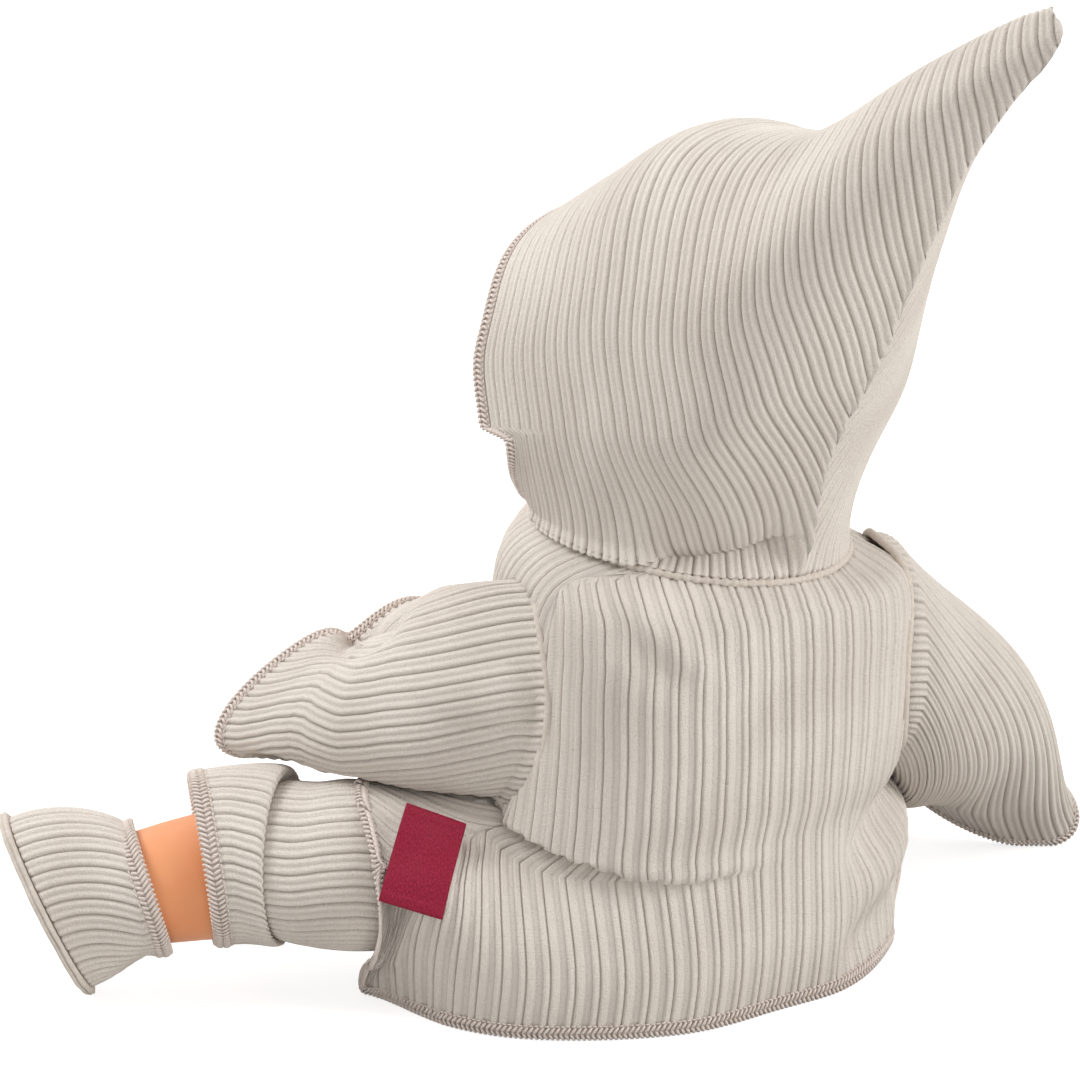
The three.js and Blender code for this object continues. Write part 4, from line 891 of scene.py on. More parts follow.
def rib_knit(colours):
    """Cotton rib knit, knitted in two needle beds and left unbrushed.

    The eye sees raised ribs that catch light, a thin dark groove beside each and a matt, slightly
    mottled yarn. Stitches are about 0.9 mm; they are drawn at 1.1 mm so that they show.
    """
    material, tree, shader = new_material(
        "cotton_rib_knit",
        {"Roughness": 0.95, "Specular IOR Level": 0.15, "Sheen Weight": 0.12, "Sheen Roughness": 0.5},
    )
    cloth = add_node(tree, "ShaderNodeAttribute", attribute_name="cloth").outputs["Vector"]
    parts = add_node(tree, "ShaderNodeSeparateXYZ", {0: cloth}).outputs
    rib = add_node(tree, "ShaderNodeAttribute", attribute_name="rib").outputs["Vector"]
    spun = {"Vector": cloth, "Scale": 2.4, "Detail": 3.0, "Roughness": 0.75}
    mottle = add_node(tree, "ShaderNodeTexNoise", spun).outputs["Fac"]
    yarn = add_node(tree, "ShaderNodeValToRGB", {"Fac": mottle}, [(0.3, 0.79), (0.7, 1.02)]).outputs["Color"]
    wide = {"Vector": cloth, "Scale": 0.03, "Detail": 1.0}
    broad = add_node(tree, "ShaderNodeTexNoise", wide).outputs["Fac"]
    tones = [(0.35, colours["shade"]), (0.65, colours["light"])]
    tone = add_node(tree, "ShaderNodeValToRGB", {"Fac": broad}, tones).outputs["Color"]
    # The knit's tone times the rib attribute: painted shade in the grooves and painted highlight on the rib
    # tops
    tone_with_rib_shade = add_node(tree, "ShaderNodeMix", {"Factor": 1.0, "A": tone, "B": rib}, **TIMES).outputs["Result"]
    knit = add_node(tree, "ShaderNodeMix", {"Factor": 1.0, "A": tone_with_rib_shade, "B": yarn}, **TIMES).outputs["Result"]
    # From the stitched edge to the open knit, in millimetres
    band = {"Value": parts[2], "From Min": 3.4, "From Max": 4.2}
    near = add_node(tree, "ShaderNodeMapRange", band).outputs["Result"]
    edged = {"Factor": near, "A": linear(colours["edge"]), "B": knit}
    colour = add_node(tree, "ShaderNodeMix", edged, data_type="RGBA").outputs["Result"]
    tree.links.new(colour, shader.inputs["Base Color"])
    longer = {"Vector": cloth, "Scale": (1.6, 0.9, 1.0)}
    stretch = add_node(tree, "ShaderNodeMapping", longer).outputs["Vector"]
    loops = add_node(tree, "ShaderNodeTexVoronoi", {"Vector": stretch, "Scale": 1.1, "Randomness": 0.55})
    fuzz = add_node(tree, "ShaderNodeTexNoise", {"Vector": cloth, "Scale": 2.6, "Detail": 3.0})
    both = {0: loops.outputs["Distance"], 1: 0.6, 2: fuzz.outputs["Fac"]}
    relief = add_node(tree, "ShaderNodeMath", both, operation="MULTIPLY_ADD").outputs[0]
    raised = add_node(tree, "ShaderNodeBump", {"Height": relief, "Strength": 0.8, "Distance": 0.0004})
    tree.links.new(raised.outputs["Normal"], shader.inputs["Normal"])
    return material


def plain_cloth(name, light, shade, scale, depth=0.0002):
    """Matt textile of spun yarn: two near tones mottled at the thread's size, and a soft thread bump."""
    plain = {"Roughness": 0.9, "Specular IOR Level": 0.2, "Sheen Weight": 0.1}
    material, tree, shader = new_material(name, plain)
    place = add_node(tree, "ShaderNodeTexCoord").outputs["Object"]
    spun = {"Vector": place, "Scale": scale, "Detail": 4.0, "Roughness": 0.65}
    fine = add_node(tree, "ShaderNodeTexNoise", spun).outputs["Fac"]
    tone = add_node(tree, "ShaderNodeValToRGB", {"Fac": fine}, [(0.3, shade), (0.7, light)]).outputs["Color"]
    tree.links.new(tone, shader.inputs["Base Color"])
    raised = add_node(tree, "ShaderNodeBump", {"Height": fine, "Strength": 0.5, "Distance": depth})
    tree.links.new(raised.outputs["Normal"], shader.inputs["Normal"])
    return material


def woven_satin():
    """Polyester satin ribbon, woven in long floats.

    The eye sees a deep red with a soft streaky gloss and fine ridges along its length.
    """
    material, tree, shader = new_material(
        "woven_satin_ribbon",
        {"Roughness": 0.6, "Specular IOR Level": 0.2, "Anisotropic": 0.5, "Sheen Weight": 0.03},
    )
    weave = add_node(tree, "ShaderNodeAttribute", attribute_name="cloth").outputs["Vector"]
    along_it = {"Vector": weave, "Scale": (3.4, 1.4, 1.0)}
    across = add_node(tree, "ShaderNodeMapping", along_it).outputs["Vector"]
    floats = {"Vector": across, "Scale": 1.0, "Detail": 3.0, "Roughness": 0.7}
    streak = add_node(tree, "ShaderNodeTexNoise", floats).outputs["Fac"]
    reds = [(0.36, "#720C24"), (0.5, "#8C1832"), (0.64, "#A02644")]
    red = add_node(tree, "ShaderNodeValToRGB", {"Fac": streak}, reds).outputs["Color"]
    tree.links.new(red, shader.inputs["Base Color"])
    fine = {"Vector": weave, "Scale": 0.7, "Distortion": 0.6, "Detail": 1.0}
    threads = add_node(tree, "ShaderNodeTexWave", fine).outputs["Fac"]
    raised = add_node(tree, "ShaderNodeBump", {"Height": threads, "Strength": 0.25, "Distance": 0.0002})
    tree.links.new(raised.outputs["Normal"], shader.inputs["Normal"])
    return material


def moulded_vinyl():
    """Soft PVC, cast in a rotating mould and left matt.

    The eye sees an even warm skin tone that glows a little at thin places, with a soft wide highlight.
    """
    material, tree, shader = new_material(
        "rotational_moulded_vinyl",
        {
            "Roughness": 0.5, "Specular IOR Level": 0.35, "Subsurface Weight": 0.15,
            "Subsurface Radius": (1.0, 0.45, 0.25), "Subsurface Scale": 0.004,
        },
    )
    place = add_node(tree, "ShaderNodeTexCoord").outputs["Object"]
    soft = {"Vector": place, "Scale": 45.0, "Detail": 2.0}
    cloud = add_node(tree, "ShaderNodeTexNoise", soft).outputs["Fac"]
    skins = [(0.35, "#EA9A68"), (0.65, "#F0A674")]
    colour = add_node(tree, "ShaderNodeValToRGB", {"Fac": cloud}, skins).outputs["Color"]
    paint = add_node(tree, "ShaderNodeAttribute", attribute_name="paint").outputs["Vector"]
    tint = add_node(tree, "ShaderNodeSeparateXYZ", {0: paint}).outputs
    # Blush, lips and brows, sprayed on through masks
    for k, code in enumerate(("#D97F66", "#C4605A", "#8A5A3C")):
        sprayed = {"Factor": tint[k], "A": colour, "B": linear(code)}
        colour = add_node(tree, "ShaderNodeMix", sprayed, data_type="RGBA").outputs["Result"]
    tree.links.new(colour, shader.inputs["Base Color"])
    fine = {"Vector": place, "Scale": 1800.0, "Detail": 2.0}
    grain = add_node(tree, "ShaderNodeTexNoise", fine).outputs["Fac"]
    raised = add_node(tree, "ShaderNodeBump", {"Height": grain, "Strength": 0.12, "Distance": 0.0002})
    tree.links.new(raised.outputs["Normal"], shader.inputs["Normal"])
    return material


def glass_eye():
    """Acrylic eye, moulded clear over a printed iris and polished.

    The eye sees a white, a brown iris, a black pupil and a sharp gloss.
    """
    plain = {"Roughness": 0.06, "Coat Weight": 0.8, "Coat Roughness": 0.03}
    material, tree, shader = new_material("polished_acrylic_eye", plain)
    look = add_node(tree, "ShaderNodeAttribute", attribute_name="look").outputs["Vector"]
    part = add_node(tree, "ShaderNodeSeparateXYZ", {0: look}).outputs
    streaks = {"Vector": look, "Scale": 9.0, "Detail": 3.0}
    spokes = add_node(tree, "ShaderNodeTexNoise", streaks).outputs["Fac"]
    browns = [(0.35, "#3E2416"), (0.7, "#7A4B2A")]
    brown = add_node(tree, "ShaderNodeValToRGB", {"Fac": spokes}, browns).outputs["Color"]
    pupil = [(0.0, 0.0), (0.2, 0.0), (0.215, 1.0), (1.0, 1.0)]
    zones = add_node(tree, "ShaderNodeValToRGB", {"Fac": part[0]}, pupil).outputs["Color"]
    rim = [(0.0, 0.0), (0.47, 0.0), (0.5, 1.0), (1.0, 1.0)]
    white = add_node(tree, "ShaderNodeValToRGB", {"Fac": part[0]}, rim).outputs["Color"]
    inner = {"Factor": zones, "A": linear("#0A0807"), "B": brown}
    iris = add_node(tree, "ShaderNodeMix", inner, data_type="RGBA").outputs["Result"]
    outer = {"Factor": white, "A": iris, "B": linear("#F2EEE8")}
    whole = add_node(tree, "ShaderNodeMix", outer, data_type="RGBA").outputs["Result"]
    tree.links.new(whole, shader.inputs["Base Color"])
    return material


MATERIALS = {}


def finishes():
    """Makes every finish once, from the colours in the panel."""
    if MATERIALS:
        return MATERIALS
    colours = bpy.context.scene.doll_colours
    tones = {"light": colours.knit, "shade": colours.knit_shade, "edge": colours.overlock}
    MATERIALS["knit"] = rib_knit({key: hex_of(colour) for key, colour in tones.items()})
    MATERIALS["thread"] = plain_cloth("overlock_thread", "#EADFD6", "#D6C9C0", 900.0)
    MATERIALS["seam"] = plain_cloth("seam_in_knit", "#DDD3C8", "#C9BEB2", 900.0)
    MATERIALS["body"] = plain_cloth("woven_body_cotton", "#E9C9B0", "#DDB99D", 1200.0)
    MATERIALS["cord"] = plain_cloth("twisted_cotton_cord", "#F0EADF", "#D9D0C2", 700.0)
    MATERIALS["fibre"] = plain_cloth("polyester_filling", "#F7F6F3", "#E6E4DF", 300.0, depth=0.001)
    MATERIALS["satin"] = woven_satin()
    MATERIALS["vinyl"] = moulded_vinyl()
    MATERIALS["eye"] = glass_eye()
    return MATERIALS


def hex_of(colour):
    """The sRGB hex of a linear colour."""
    parts = [p * 12.92 if p <= 0.0031308 else 1.055 * p ** (1 / 2.4) - 0.055 for p in colour[:3]]
    return "#" + "".join(f"{round(255 * min(max(p, 0), 1)):02X}" for p in parts)


def turned_head(places):
    """Head pieces are shaped facing forward and then turned with the neck."""
    c, s = math.cos(HEAD_TURN), math.sin(HEAD_TURN)
    return np.asarray(places) @ np.array([[c, s, 0], [-s, c, 0], [0, 0, 1]])


# Pieces
def make_hood():
    fine = np.concatenate([BAG_OVER + np.linspace(-0.012, 0.006, 19), np.linspace(0.622, 0.648, 12)])
    fine = np.concatenate([fine, np.linspace(0.84, 0.98, 15)])
    over = np.unique(np.concatenate([np.linspace(-1, 1, 111), fine, -fine]).round(5))
    knit = Knit(hood_form, over, 0.0, 1.0, 0.0, outward=-1.0, ruler=hood_flat)
    knit.edge[:] = knit.across - knit.across[:, :1]
    to_seam = knit.across[np.arange(len(over)), knit.final][:, None] - knit.across
    height = 1 - np.abs(over)[:, None]
    raised = 1.2 * np.exp(-to_seam / 2.5)
    sunk = -2.4 * np.exp(-to_seam / 7) * (1 - np.exp(-to_seam / 1.2))
    knit.push(np.where(over[:, None] > 0, raised, sunk) * smooth(height / 0.1) * smooth((1 - height) / 0.05))
    brim = knit.places.reshape(*knit.shape, 3)[:, knit.first[0]].copy()
    brim_out = knit.normals.reshape(*knit.shape, 3)[:, knit.first[0]]
    inward = knit.places.reshape(*knit.shape, 3)[:, knit.first[0] + 4] - brim
    knit.ribs()
    knit.places = turned_head(knit.places)
    knit.normals = turned_head(knit.normals)
    hood = knit.mesh("hood_cloth", finishes()["knit"])
    edging = overlock("hood", turned_head(brim), turned_head(brim_out), turned_head(inward))
    for piece in (hood, edging):
        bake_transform(piece)
    dress(hood, edging, "hood")


# Angles of the side seams; the left one wanders with the height
SIDE_SEAM = 98
LEFT_SEAM = [[0, 85], [0.19, 86.5], [0.32, 88.5], [0.46, 95], [0.7, 98], [0.92, 99], [0.96, 112], [1, 133]]


def in_armhole(knit, side, grow=0.0):
    """Which faces of a panel lie in an armhole."""
    sign = 1 if side == "left" else -1
    grid = knit.places.reshape(*knit.shape, 3)
    middle = (grid[:-1, :-1] + grid[1:, :-1] + grid[:-1, 1:] + grid[1:, 1:]) / 4
    y = (middle[..., 1] - SHOULDER_FORWARD[side]) / (ARMHOLE_HALF_DEPTH + grow)
    z = (middle[..., 2] - ARMHOLE_HEIGHT) / (ARMHOLE_HALF_HEIGHT + grow)
    return (y**2 + z**2 < 1) & (sign * middle[..., 0] > SHOULDER_SPACING - ARMHOLE_REACH)


def jacket_panel(name, surface, start, stop, zero, holes):
    up = np.concatenate([[0, 0.01, 0.02], np.linspace(0.03, 1, 56), np.linspace(0.42, 0.6, 18)])
    up = np.unique(up.round(5))
    knit = Knit(surface, up, start(up), stop(up), zero, knit=STRETCHED)
    knit.edge[:] = knit.down
    row = slice(knit.first[0], knit.final[0] + 1)
    grid, out = knit.places.reshape(*knit.shape, 3), knit.normals.reshape(*knit.shape, 3)
    hem = grid[0, row].copy(), out[0, row].copy(), (grid[4, row] - grid[0, row])
    knit.keep = np.ones((knit.shape[0] - 1, knit.shape[1] - 1), bool)
    for side in holes:
        knit.keep &= ~in_armhole(knit, side, -1.5)
    knit.ribs()
    return knit.mesh(name, finishes()["knit"]), overlock(name, *hem)


# How far the right front lies under the left
TUCK = 4.5


def tucked_surface(angle, up):
    """The right front, where it tucks under the left."""
    angle, up = (np.asarray(a, float).ravel() for a in np.broadcast_arrays(angle, up))
    place = jacket_surface(angle, up)
    du = jacket_surface(angle + 0.2, up) - jacket_surface(angle - 0.2, up)
    dv = jacket_surface(angle, np.minimum(up + 0.002, 1)) - jacket_surface(angle, np.maximum(up - 0.002, 0))
    return place - unit(np.cross(du, dv)) * (TUCK * smooth((angle + 20) / 12))[:, None]


def make_jacket():
    def left_seam(up):
        return along(LEFT_SEAM, up)[:, 0]

    panels = {
        "jacket_back": jacket_panel(
            "jacket_back_cloth", jacket_surface, lambda up: left_seam(up) + 0.01,
            lambda up: np.full_like(up, 360 - SIDE_SEAM - 0.15), 180.0, ("left", "right"),
        ),
        "jacket_front_left": jacket_panel(
            "jacket_front_left_cloth", jacket_surface, lambda up: np.full_like(up, -7.0),
            lambda up: left_seam(up) - 0.01, 0.0, ("left",),
        ),
        "jacket_front_right": jacket_panel(
            "jacket_front_right_cloth", tucked_surface, lambda up: np.full_like(up, -SIDE_SEAM + 0.15),
            lambda up: np.full_like(up, 7.0), 0.0, ("right",),
        ),
    }
    for node, (piece, edging) in panels.items():
        for part in (piece, edging):
            if node == "jacket_front_right":
                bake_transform(part)
            else:
                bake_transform(part)
        dress(piece, edging, node)


# The label's top front, top back, bottom back and bottom front corners
LABEL_CORNERS = [(81.2, -5.8, 58.9), (69.9, 4.8, 54.5), (82.7, 14.5, 35.0), (94.8, 3.5, 38.7)]
LABEL_THICKNESS = 0.6


def make_label():
    a, b, c, d = np.array(LABEL_CORNERS)
    outward = unit(np.cross(c - a, b - d))
    outward = outward * np.sign(outward @ np.array([0.5, 0.8, 0.3]))
    columns, rows = 26, 38
    u, v = (t.ravel()[:, None] for t in np.meshgrid(np.linspace(0, 1, columns), np.linspace(0, 1, rows)))
    flat = lerp(lerp(a, b, u), lerp(d, c, u), v)
    bulge = 1.8 * 4 * v * (1 - v) + 0.25 * np.sin(9 * v + 2 * u)
    hem = 0.35 * (smooth((v - 0.9) / 0.02) + smooth((0.1 - v) / 0.02))
    outer = flat + outward * (bulge + hem)
    i, j = np.meshgrid(np.arange(columns - 1), np.arange(rows - 1))
    first = (j * columns + i).ravel()
    quads = np.stack([first, first + 1, first + columns + 1, first + columns], -1)
    data = {"cloth": np.concatenate([u * 16.5, v * 25, np.full_like(u, 9)], -1)}
    normals = np.broadcast_to(outward, outer.shape)
    inner = outer - outward * (LABEL_THICKNESS + hem)
    label = two_sided("side_label_ribbon", outer, inner, quads, finishes()["satin"], data, normals)
    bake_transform(label)
    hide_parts("side_label")


def tube_knit(name, surface, rows):
    """A sleeve or leg of ribbed cloth with an overlocked end at its last row."""
    knit = Knit(surface, rows, -np.pi, np.pi, 0.0)
    grid = knit.places.reshape(*knit.shape, 3)
    knit.edge[:] = knit.down[-1:] - knit.down
    out = knit.normals.reshape(*knit.shape, 3)
    if ((grid - grid.mean(axis=1, keepdims=True)) * out).sum() < 0:
        knit.normals = -knit.normals
        out = -out
    line = slice(knit.first[-1], knit.final[-1] + 1)
    hem = grid[-1, line].copy(), out[-1, line].copy(), grid[-5, line] - grid[-1, line]
    knit.ribs()
    return knit.mesh(name, finishes()["knit"]), overlock(name, *hem)


def dress(piece, edging, node):
    """Hides the solid of a node, whose place a ribbed piece and its overlocked edge take."""
    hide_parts(node)


SEAM_STEP = 0.8
SEAM_STITCH = 2.4


def seam_cord(name, path, radius, closed=True, dents=0.0):
    """A rounded seam along a path, with dents where its stitches pull."""
    rows = spaced(path, SEAM_STEP, closed)
    line = sampled(path, rows, closed)
    if closed:
        line = line[:-1]
        way = unit(np.roll(line, -1, axis=0) - np.roll(line, 1, axis=0))
    else:
        way = unit(np.gradient(line, axis=0))
    side = unit(np.cross(way, [0.1, 0.2, 1.0]))
    up = np.cross(side, way)
    place = np.arange(len(line)) * SEAM_STEP
    thick = radius * (1 - dents * (0.5 + 0.5 * np.cos(2 * np.pi * place / SEAM_STITCH)) ** 3)
    turn = 2 * np.pi * np.arange(10) / 10
    rings = line[:, None] + thick[:, None, None] * (
        np.cos(turn)[None, :, None] * side[:, None] + np.sin(turn)[None, :, None] * up[:, None]
    )
    if closed:
        rings = np.concatenate([rings, rings[:1]])
    places, faces = skin(rings, closed_ends=not closed)
    return mesh_object(name, places, facing_out(places, faces), finishes()["seam"])


def make_sleeves():
    ways = {
        "left": ((0.031, -0.031, 0.085), (0.0525, -0.0525, 0.085)),
        "right": ((0, 0.015, 0), (-0.0275, 0.015, -0.022)),
    }
    for side, (start, end) in ways.items():
        piece, edging = tube_knit(f"sleeve_{side}_cloth", sleeve_surface(side), np.linspace(0, 1, 60))
        turn = np.linspace(0, 2 * np.pi, 120, endpoint=False)
        armhole = sleeve_surface(side)(turn, np.zeros(120))
        seam = seam_cord(f"armhole_seam_{side}", armhole, 0.9 if side == "left" else 1.2, dents=0.15)
        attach(seam, "torso")
        for part in (piece, edging):
            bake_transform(part)
        dress(piece, edging, f"sleeve_{side}")


# Trouser cloth with the roll above its hem: share of the way, distance along the leg, half-widths, lift
TROUSER_CLOTH = [
    [0, 0, 18.6, 18.6, 0], [0.1, 10, 19, 18.8, 0.5], [0.38, 37, 20.3, 18.8, 2.3], [0.55, 54, 21.8, 20, 3.2],
    [0.66, 64, 20.8, 20.4, 2.8], [0.73, 71, 20.2, 20, 3.3], [0.76, 73.2, 19.2, 19, 3.6],
    [0.785, 72.4, 20.8, 20.4, 3.8], [0.81, 71.2, 22.6, 21.8, 4.2], [0.84, 73.4, 23.2, 22.4, 4.4],
    [0.89, 79, 23, 22, 4.6], [1, 92, 22.4, 21, 4.6],
]


def make_trouser_legs():
    ways = {
        "left": ((0.040, 0, 0.031), (0.062, 0, 0.031)),
        "right": ((-0.025, -0.025, 0.031), (-0.0475, -0.0475, 0.031)),
    }
    for side, (start, end) in ways.items():
        limb = LEGS[side]

        def surface(angle, share, limb=limb):
            angle, share = (np.asarray(a, float).ravel() for a in np.broadcast_arrays(angle, share))
            s, upward, across, lift = np.moveaxis(along(TROUSER_CLOTH, share), -1, 0)
            return limb.round(s, angle, upward, across, lift)

        rows = np.unique(np.concatenate([np.linspace(0, 1, 50), np.linspace(0.72, 0.86, 16)]).round(5))
        piece, edging = tube_knit(f"trouser_leg_{side}_cloth", surface, rows)
        for part in (piece, edging):
            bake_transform(part)
        dress(piece, edging, f"trouser_leg_{side}")


BOOTIE_BAND = 5.0
BOOTIE_OUT = 2.5
SOLE_THICKNESS = 2.4
# The sole's edge with its two ridges: share of the thickness, distance out
SOLE_EDGE = [(0, -3), (0, 1.2), (0.2, 2), (0.4, 2), (0.5, 1.2), (0.6, 2), (0.8, 1.9), (1, 1.2), (1, -3)]


def bootie_surface(side):
    """Place on a bootie, by angle and from -1 at its opening to 1 at the sole."""
    limb = LEGS[side]

    def surface(angle, share):
        angle, share = (np.asarray(a, float).ravel() for a in np.broadcast_arrays(angle, share))
        cuff = np.clip(-share, 0, 1)
        radius = ANKLE_RADIUS + 0.9 * cuff + BOOTIE_OUT
        band = BOOTIE_BAND - 2.4 * np.cos(angle) - 1.6
        ankle = limb.round(limb.length - band * cuff, angle, radius, radius, np.zeros_like(radius))
        foot = foot_place(side, np.clip(share, 0, 1), angle, BOOTIE_OUT)
        return np.where((share < 0)[:, None], ankle, foot)

    return surface


def make_booties():
    for side in LEGS:
        rows = np.concatenate([np.linspace(1, 0, 40), np.linspace(-0.25, -1, 4)])
        surface = bootie_surface(side)
        piece, edging = tube_knit(f"bootie_{side}_cloth", lambda a, s: surface(a, -s), -rows)
        turn = np.linspace(0, 2 * np.pi, 96, endpoint=False)
        wavy = 0.35 * np.sin(7 * turn) + 0.25 * np.sin(17 * turn + 1)

        def ring(share, extra):
            return foot_place(side, np.full_like(turn, share), turn, BOOTIE_OUT + extra + wavy)

        gap = SEAM_GAP / FOOT_DROP
        thick = SOLE_THICKNESS / FOOT_DROP
        rings = [ring(1 + gap + down * thick, out) for down, out in SOLE_EDGE]
        sole = ring_object(f"bootie_{side}_sole", rings, finishes()["seam"])
        for part in (piece, edging, sole):
            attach(part, f"leg_{side}")
        dress(piece, edging, f"bootie_upper_{side}")
        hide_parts(f"bootie_sole_{side}")


# How far a vinyl limb reaches into its cloth socket
PLUG = 7.0


def make_legs():
    """Vinyl lower legs with feet."""
    for side, limb in LEGS.items():
        start = THIGH_LENGTH + SEAM_GAP
        rows = [
            [start - PLUG, 8], [start - 0.2, 8], [start, 8.4], [start + 0.6, THIGH_RADIUS - 1.2],
            [start + 2, THIGH_RADIUS - 0.6], [lerp(start, limb.length, 0.15), KNEE_RADIUS - 0.7],
            [lerp(start, limb.length, 0.3), KNEE_RADIUS - 0.4], [lerp(start, limb.length, 0.45), KNEE_RADIUS],
            [lerp(start, limb.length, 0.6), KNEE_RADIUS],
            [lerp(start, limb.length, 0.85), ANKLE_RADIUS + 1.2],
            [limb.length, ANKLE_RADIUS],
        ]
        turn = np.linspace(0, 2 * np.pi, 64, endpoint=False)
        plug = np.linspace(start - PLUG, start + 2, 12)
        places = np.concatenate([plug, np.linspace(start + 3, limb.length, 44)])
        rings = [limb.tube(rows, np.full(64, s), turn) for s in places]
        for share in np.linspace(0.04, 1, 24):
            rings.append(foot_place(side, np.full(64, share), turn, -2.5 * smooth((share - 0.9) / 0.1)))
        leg = ring_object(f"lower_leg_{side}_vinyl", rings, finishes()["vinyl"])
        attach(leg, f"leg_{side}")
        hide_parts(f"lower_leg_{side}")


HAND = 20.0
WRIST = 55.0
UPPER_ARM = 32.0


def finger(start, way, length, radius):
    """A rounded finger as closed rings."""
    way = unit(np.asarray(way, float))
    e = unit(np.cross(way, [0.3, 0.2, 0.9]))
    f = np.cross(way, e)
    turn = 2 * np.pi * np.arange(16) / 16
    rings = []
    for share in np.linspace(0, 1, 16):
        if share < 0.55:
            size, far = radius, share / 0.55 * length
        else:
            a = (share - 0.55) / 0.45 * np.pi / 2
            size, far = radius * max(math.cos(a), 0.04), length + radius * math.sin(a)
        ring = np.cos(turn)[:, None] * e + np.sin(turn)[:, None] * f
        rings.append(start + way * far + ring * size)
    return rings


def make_forearms():
    """Vinyl forearms with hands, whose parts are joined into one skin."""
    for side, limb in ARMS.items():
        start = UPPER_ARM + SEAM_GAP
        rows = [
            [start - PLUG, 8, 8], [start - 0.2, 8, 8], [start, 8.4, 8.4], [start + 1, 9.8, 9.8],
            [lerp(start, WRIST, 0.35), 10.4, 10.4], [lerp(start, WRIST, 0.75), 9, 9], [WRIST, 8.4, 8.4],
            [WRIST + 5, 6.5, 8.5], [WRIST + 12, 6.5, 9.5], [WRIST + HAND - 5, 5.5, 9],
            [WRIST + HAND - 2, 3.5, 6.5],
        ]
        turn = np.linspace(0, 2 * np.pi, 40, endpoint=False)
        reach = np.linspace(start - PLUG, WRIST + HAND - 2, 60)
        rings = [limb.tube(rows, np.full(40, s), turn) for s in reach]
        places, faces = skin(rings)
        places, faces = [places], [facing_out(places, faces)]
        _, axis, up, across = (a[0] for a in limb.frame(np.array([WRIST])))
        palm = limb.frame(np.array([WRIST + HAND - 6]))[0][0]
        curl = unit(axis - 0.35 * up)
        parts = []
        for place in (-1.5, -0.5, 0.5, 1.5):
            long = 7.5 if abs(place) > 1 else 9.5
            parts.append((palm + across * place * 4.9, unit(curl + across * place * 0.1), long, 2.7))
        thumb = 1 if across[0] * (-1 if side == "left" else 1) > 0 else -1
        base = limb.frame(np.array([WRIST + 7]))[0][0] + across * thumb * 6.5
        parts.append((base, axis + across * thumb * 0.5, 7.5, 3.0))
        for part in parts:
            p, f = skin(finger(*part))
            places.append(p)
            faces.append(facing_out(p, f))
        offset = 0
        joined = []
        for p, f in zip(places, faces):
            joined += [[i + offset for i in face] for face in f]
            offset += len(p)
        arm = mesh_object(f"forearm_{side}_vinyl", np.concatenate(places), joined, finishes()["vinyl"])
        blend_skin(arm, HAND_GRAIN)
        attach(arm, f"arm_{side}")
        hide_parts(f"forearm_{side}")


def blend_skin(piece, voxel):
    """Parts that cross each other become one even skin."""
    remesh = piece.modifiers.new("skin", "REMESH")
    remesh.mode = "VOXEL"
    remesh.voxel_size = voxel
    ease = piece.modifiers.new("ease", "SMOOTH")
    ease.iterations = 6
    ease.factor = 0.5
    depsgraph = bpy.context.evaluated_depsgraph_get()
    mesh = bpy.data.meshes.new_from_object(piece.evaluated_get(depsgraph))
    material = piece.data.materials[0]
    piece.modifiers.clear()
    piece.data = mesh
    mesh.materials.clear()
    mesh.materials.append(material)
    mesh.shade_smooth()


FACE = [
    (0, 161, 6, 7, 4.5), (0, 170, 1.5, 6, 7), (33, 153.5, 3, 17, 10), (0, 150, 2.6, 10, 2.6),
    (0, 145.5, 2.2, 8, 2), (0, 137.5, 3.2, 14, 5), (EYE_ANGLE, EYE_HEIGHT, -3.2, 11, 7), (24, 180, 1, 18, 4),
]


def head_place(angle, z):
    share = np.clip((z - HEAD_CENTRE) / HEAD_HALF[2], -1, 1)
    width = np.sqrt(1 - share**2)
    away = np.abs((angle + 180) % 360 - 180)
    face = sum(out * bump(away, a, wide) * bump(z, h, tall) for a, h, out, wide, tall in FACE)
    cheek = 1 + 0.03 * bump(z, 160, 16)
    turn = np.radians(angle)
    x = (HEAD_HALF[0] * width * cheek + face) * np.sin(turn)
    y = HEAD_FORWARD - (HEAD_HALF[1] * width * cheek + face) * np.cos(turn)
    return np.stack([x, y, z + 0 * x], -1)


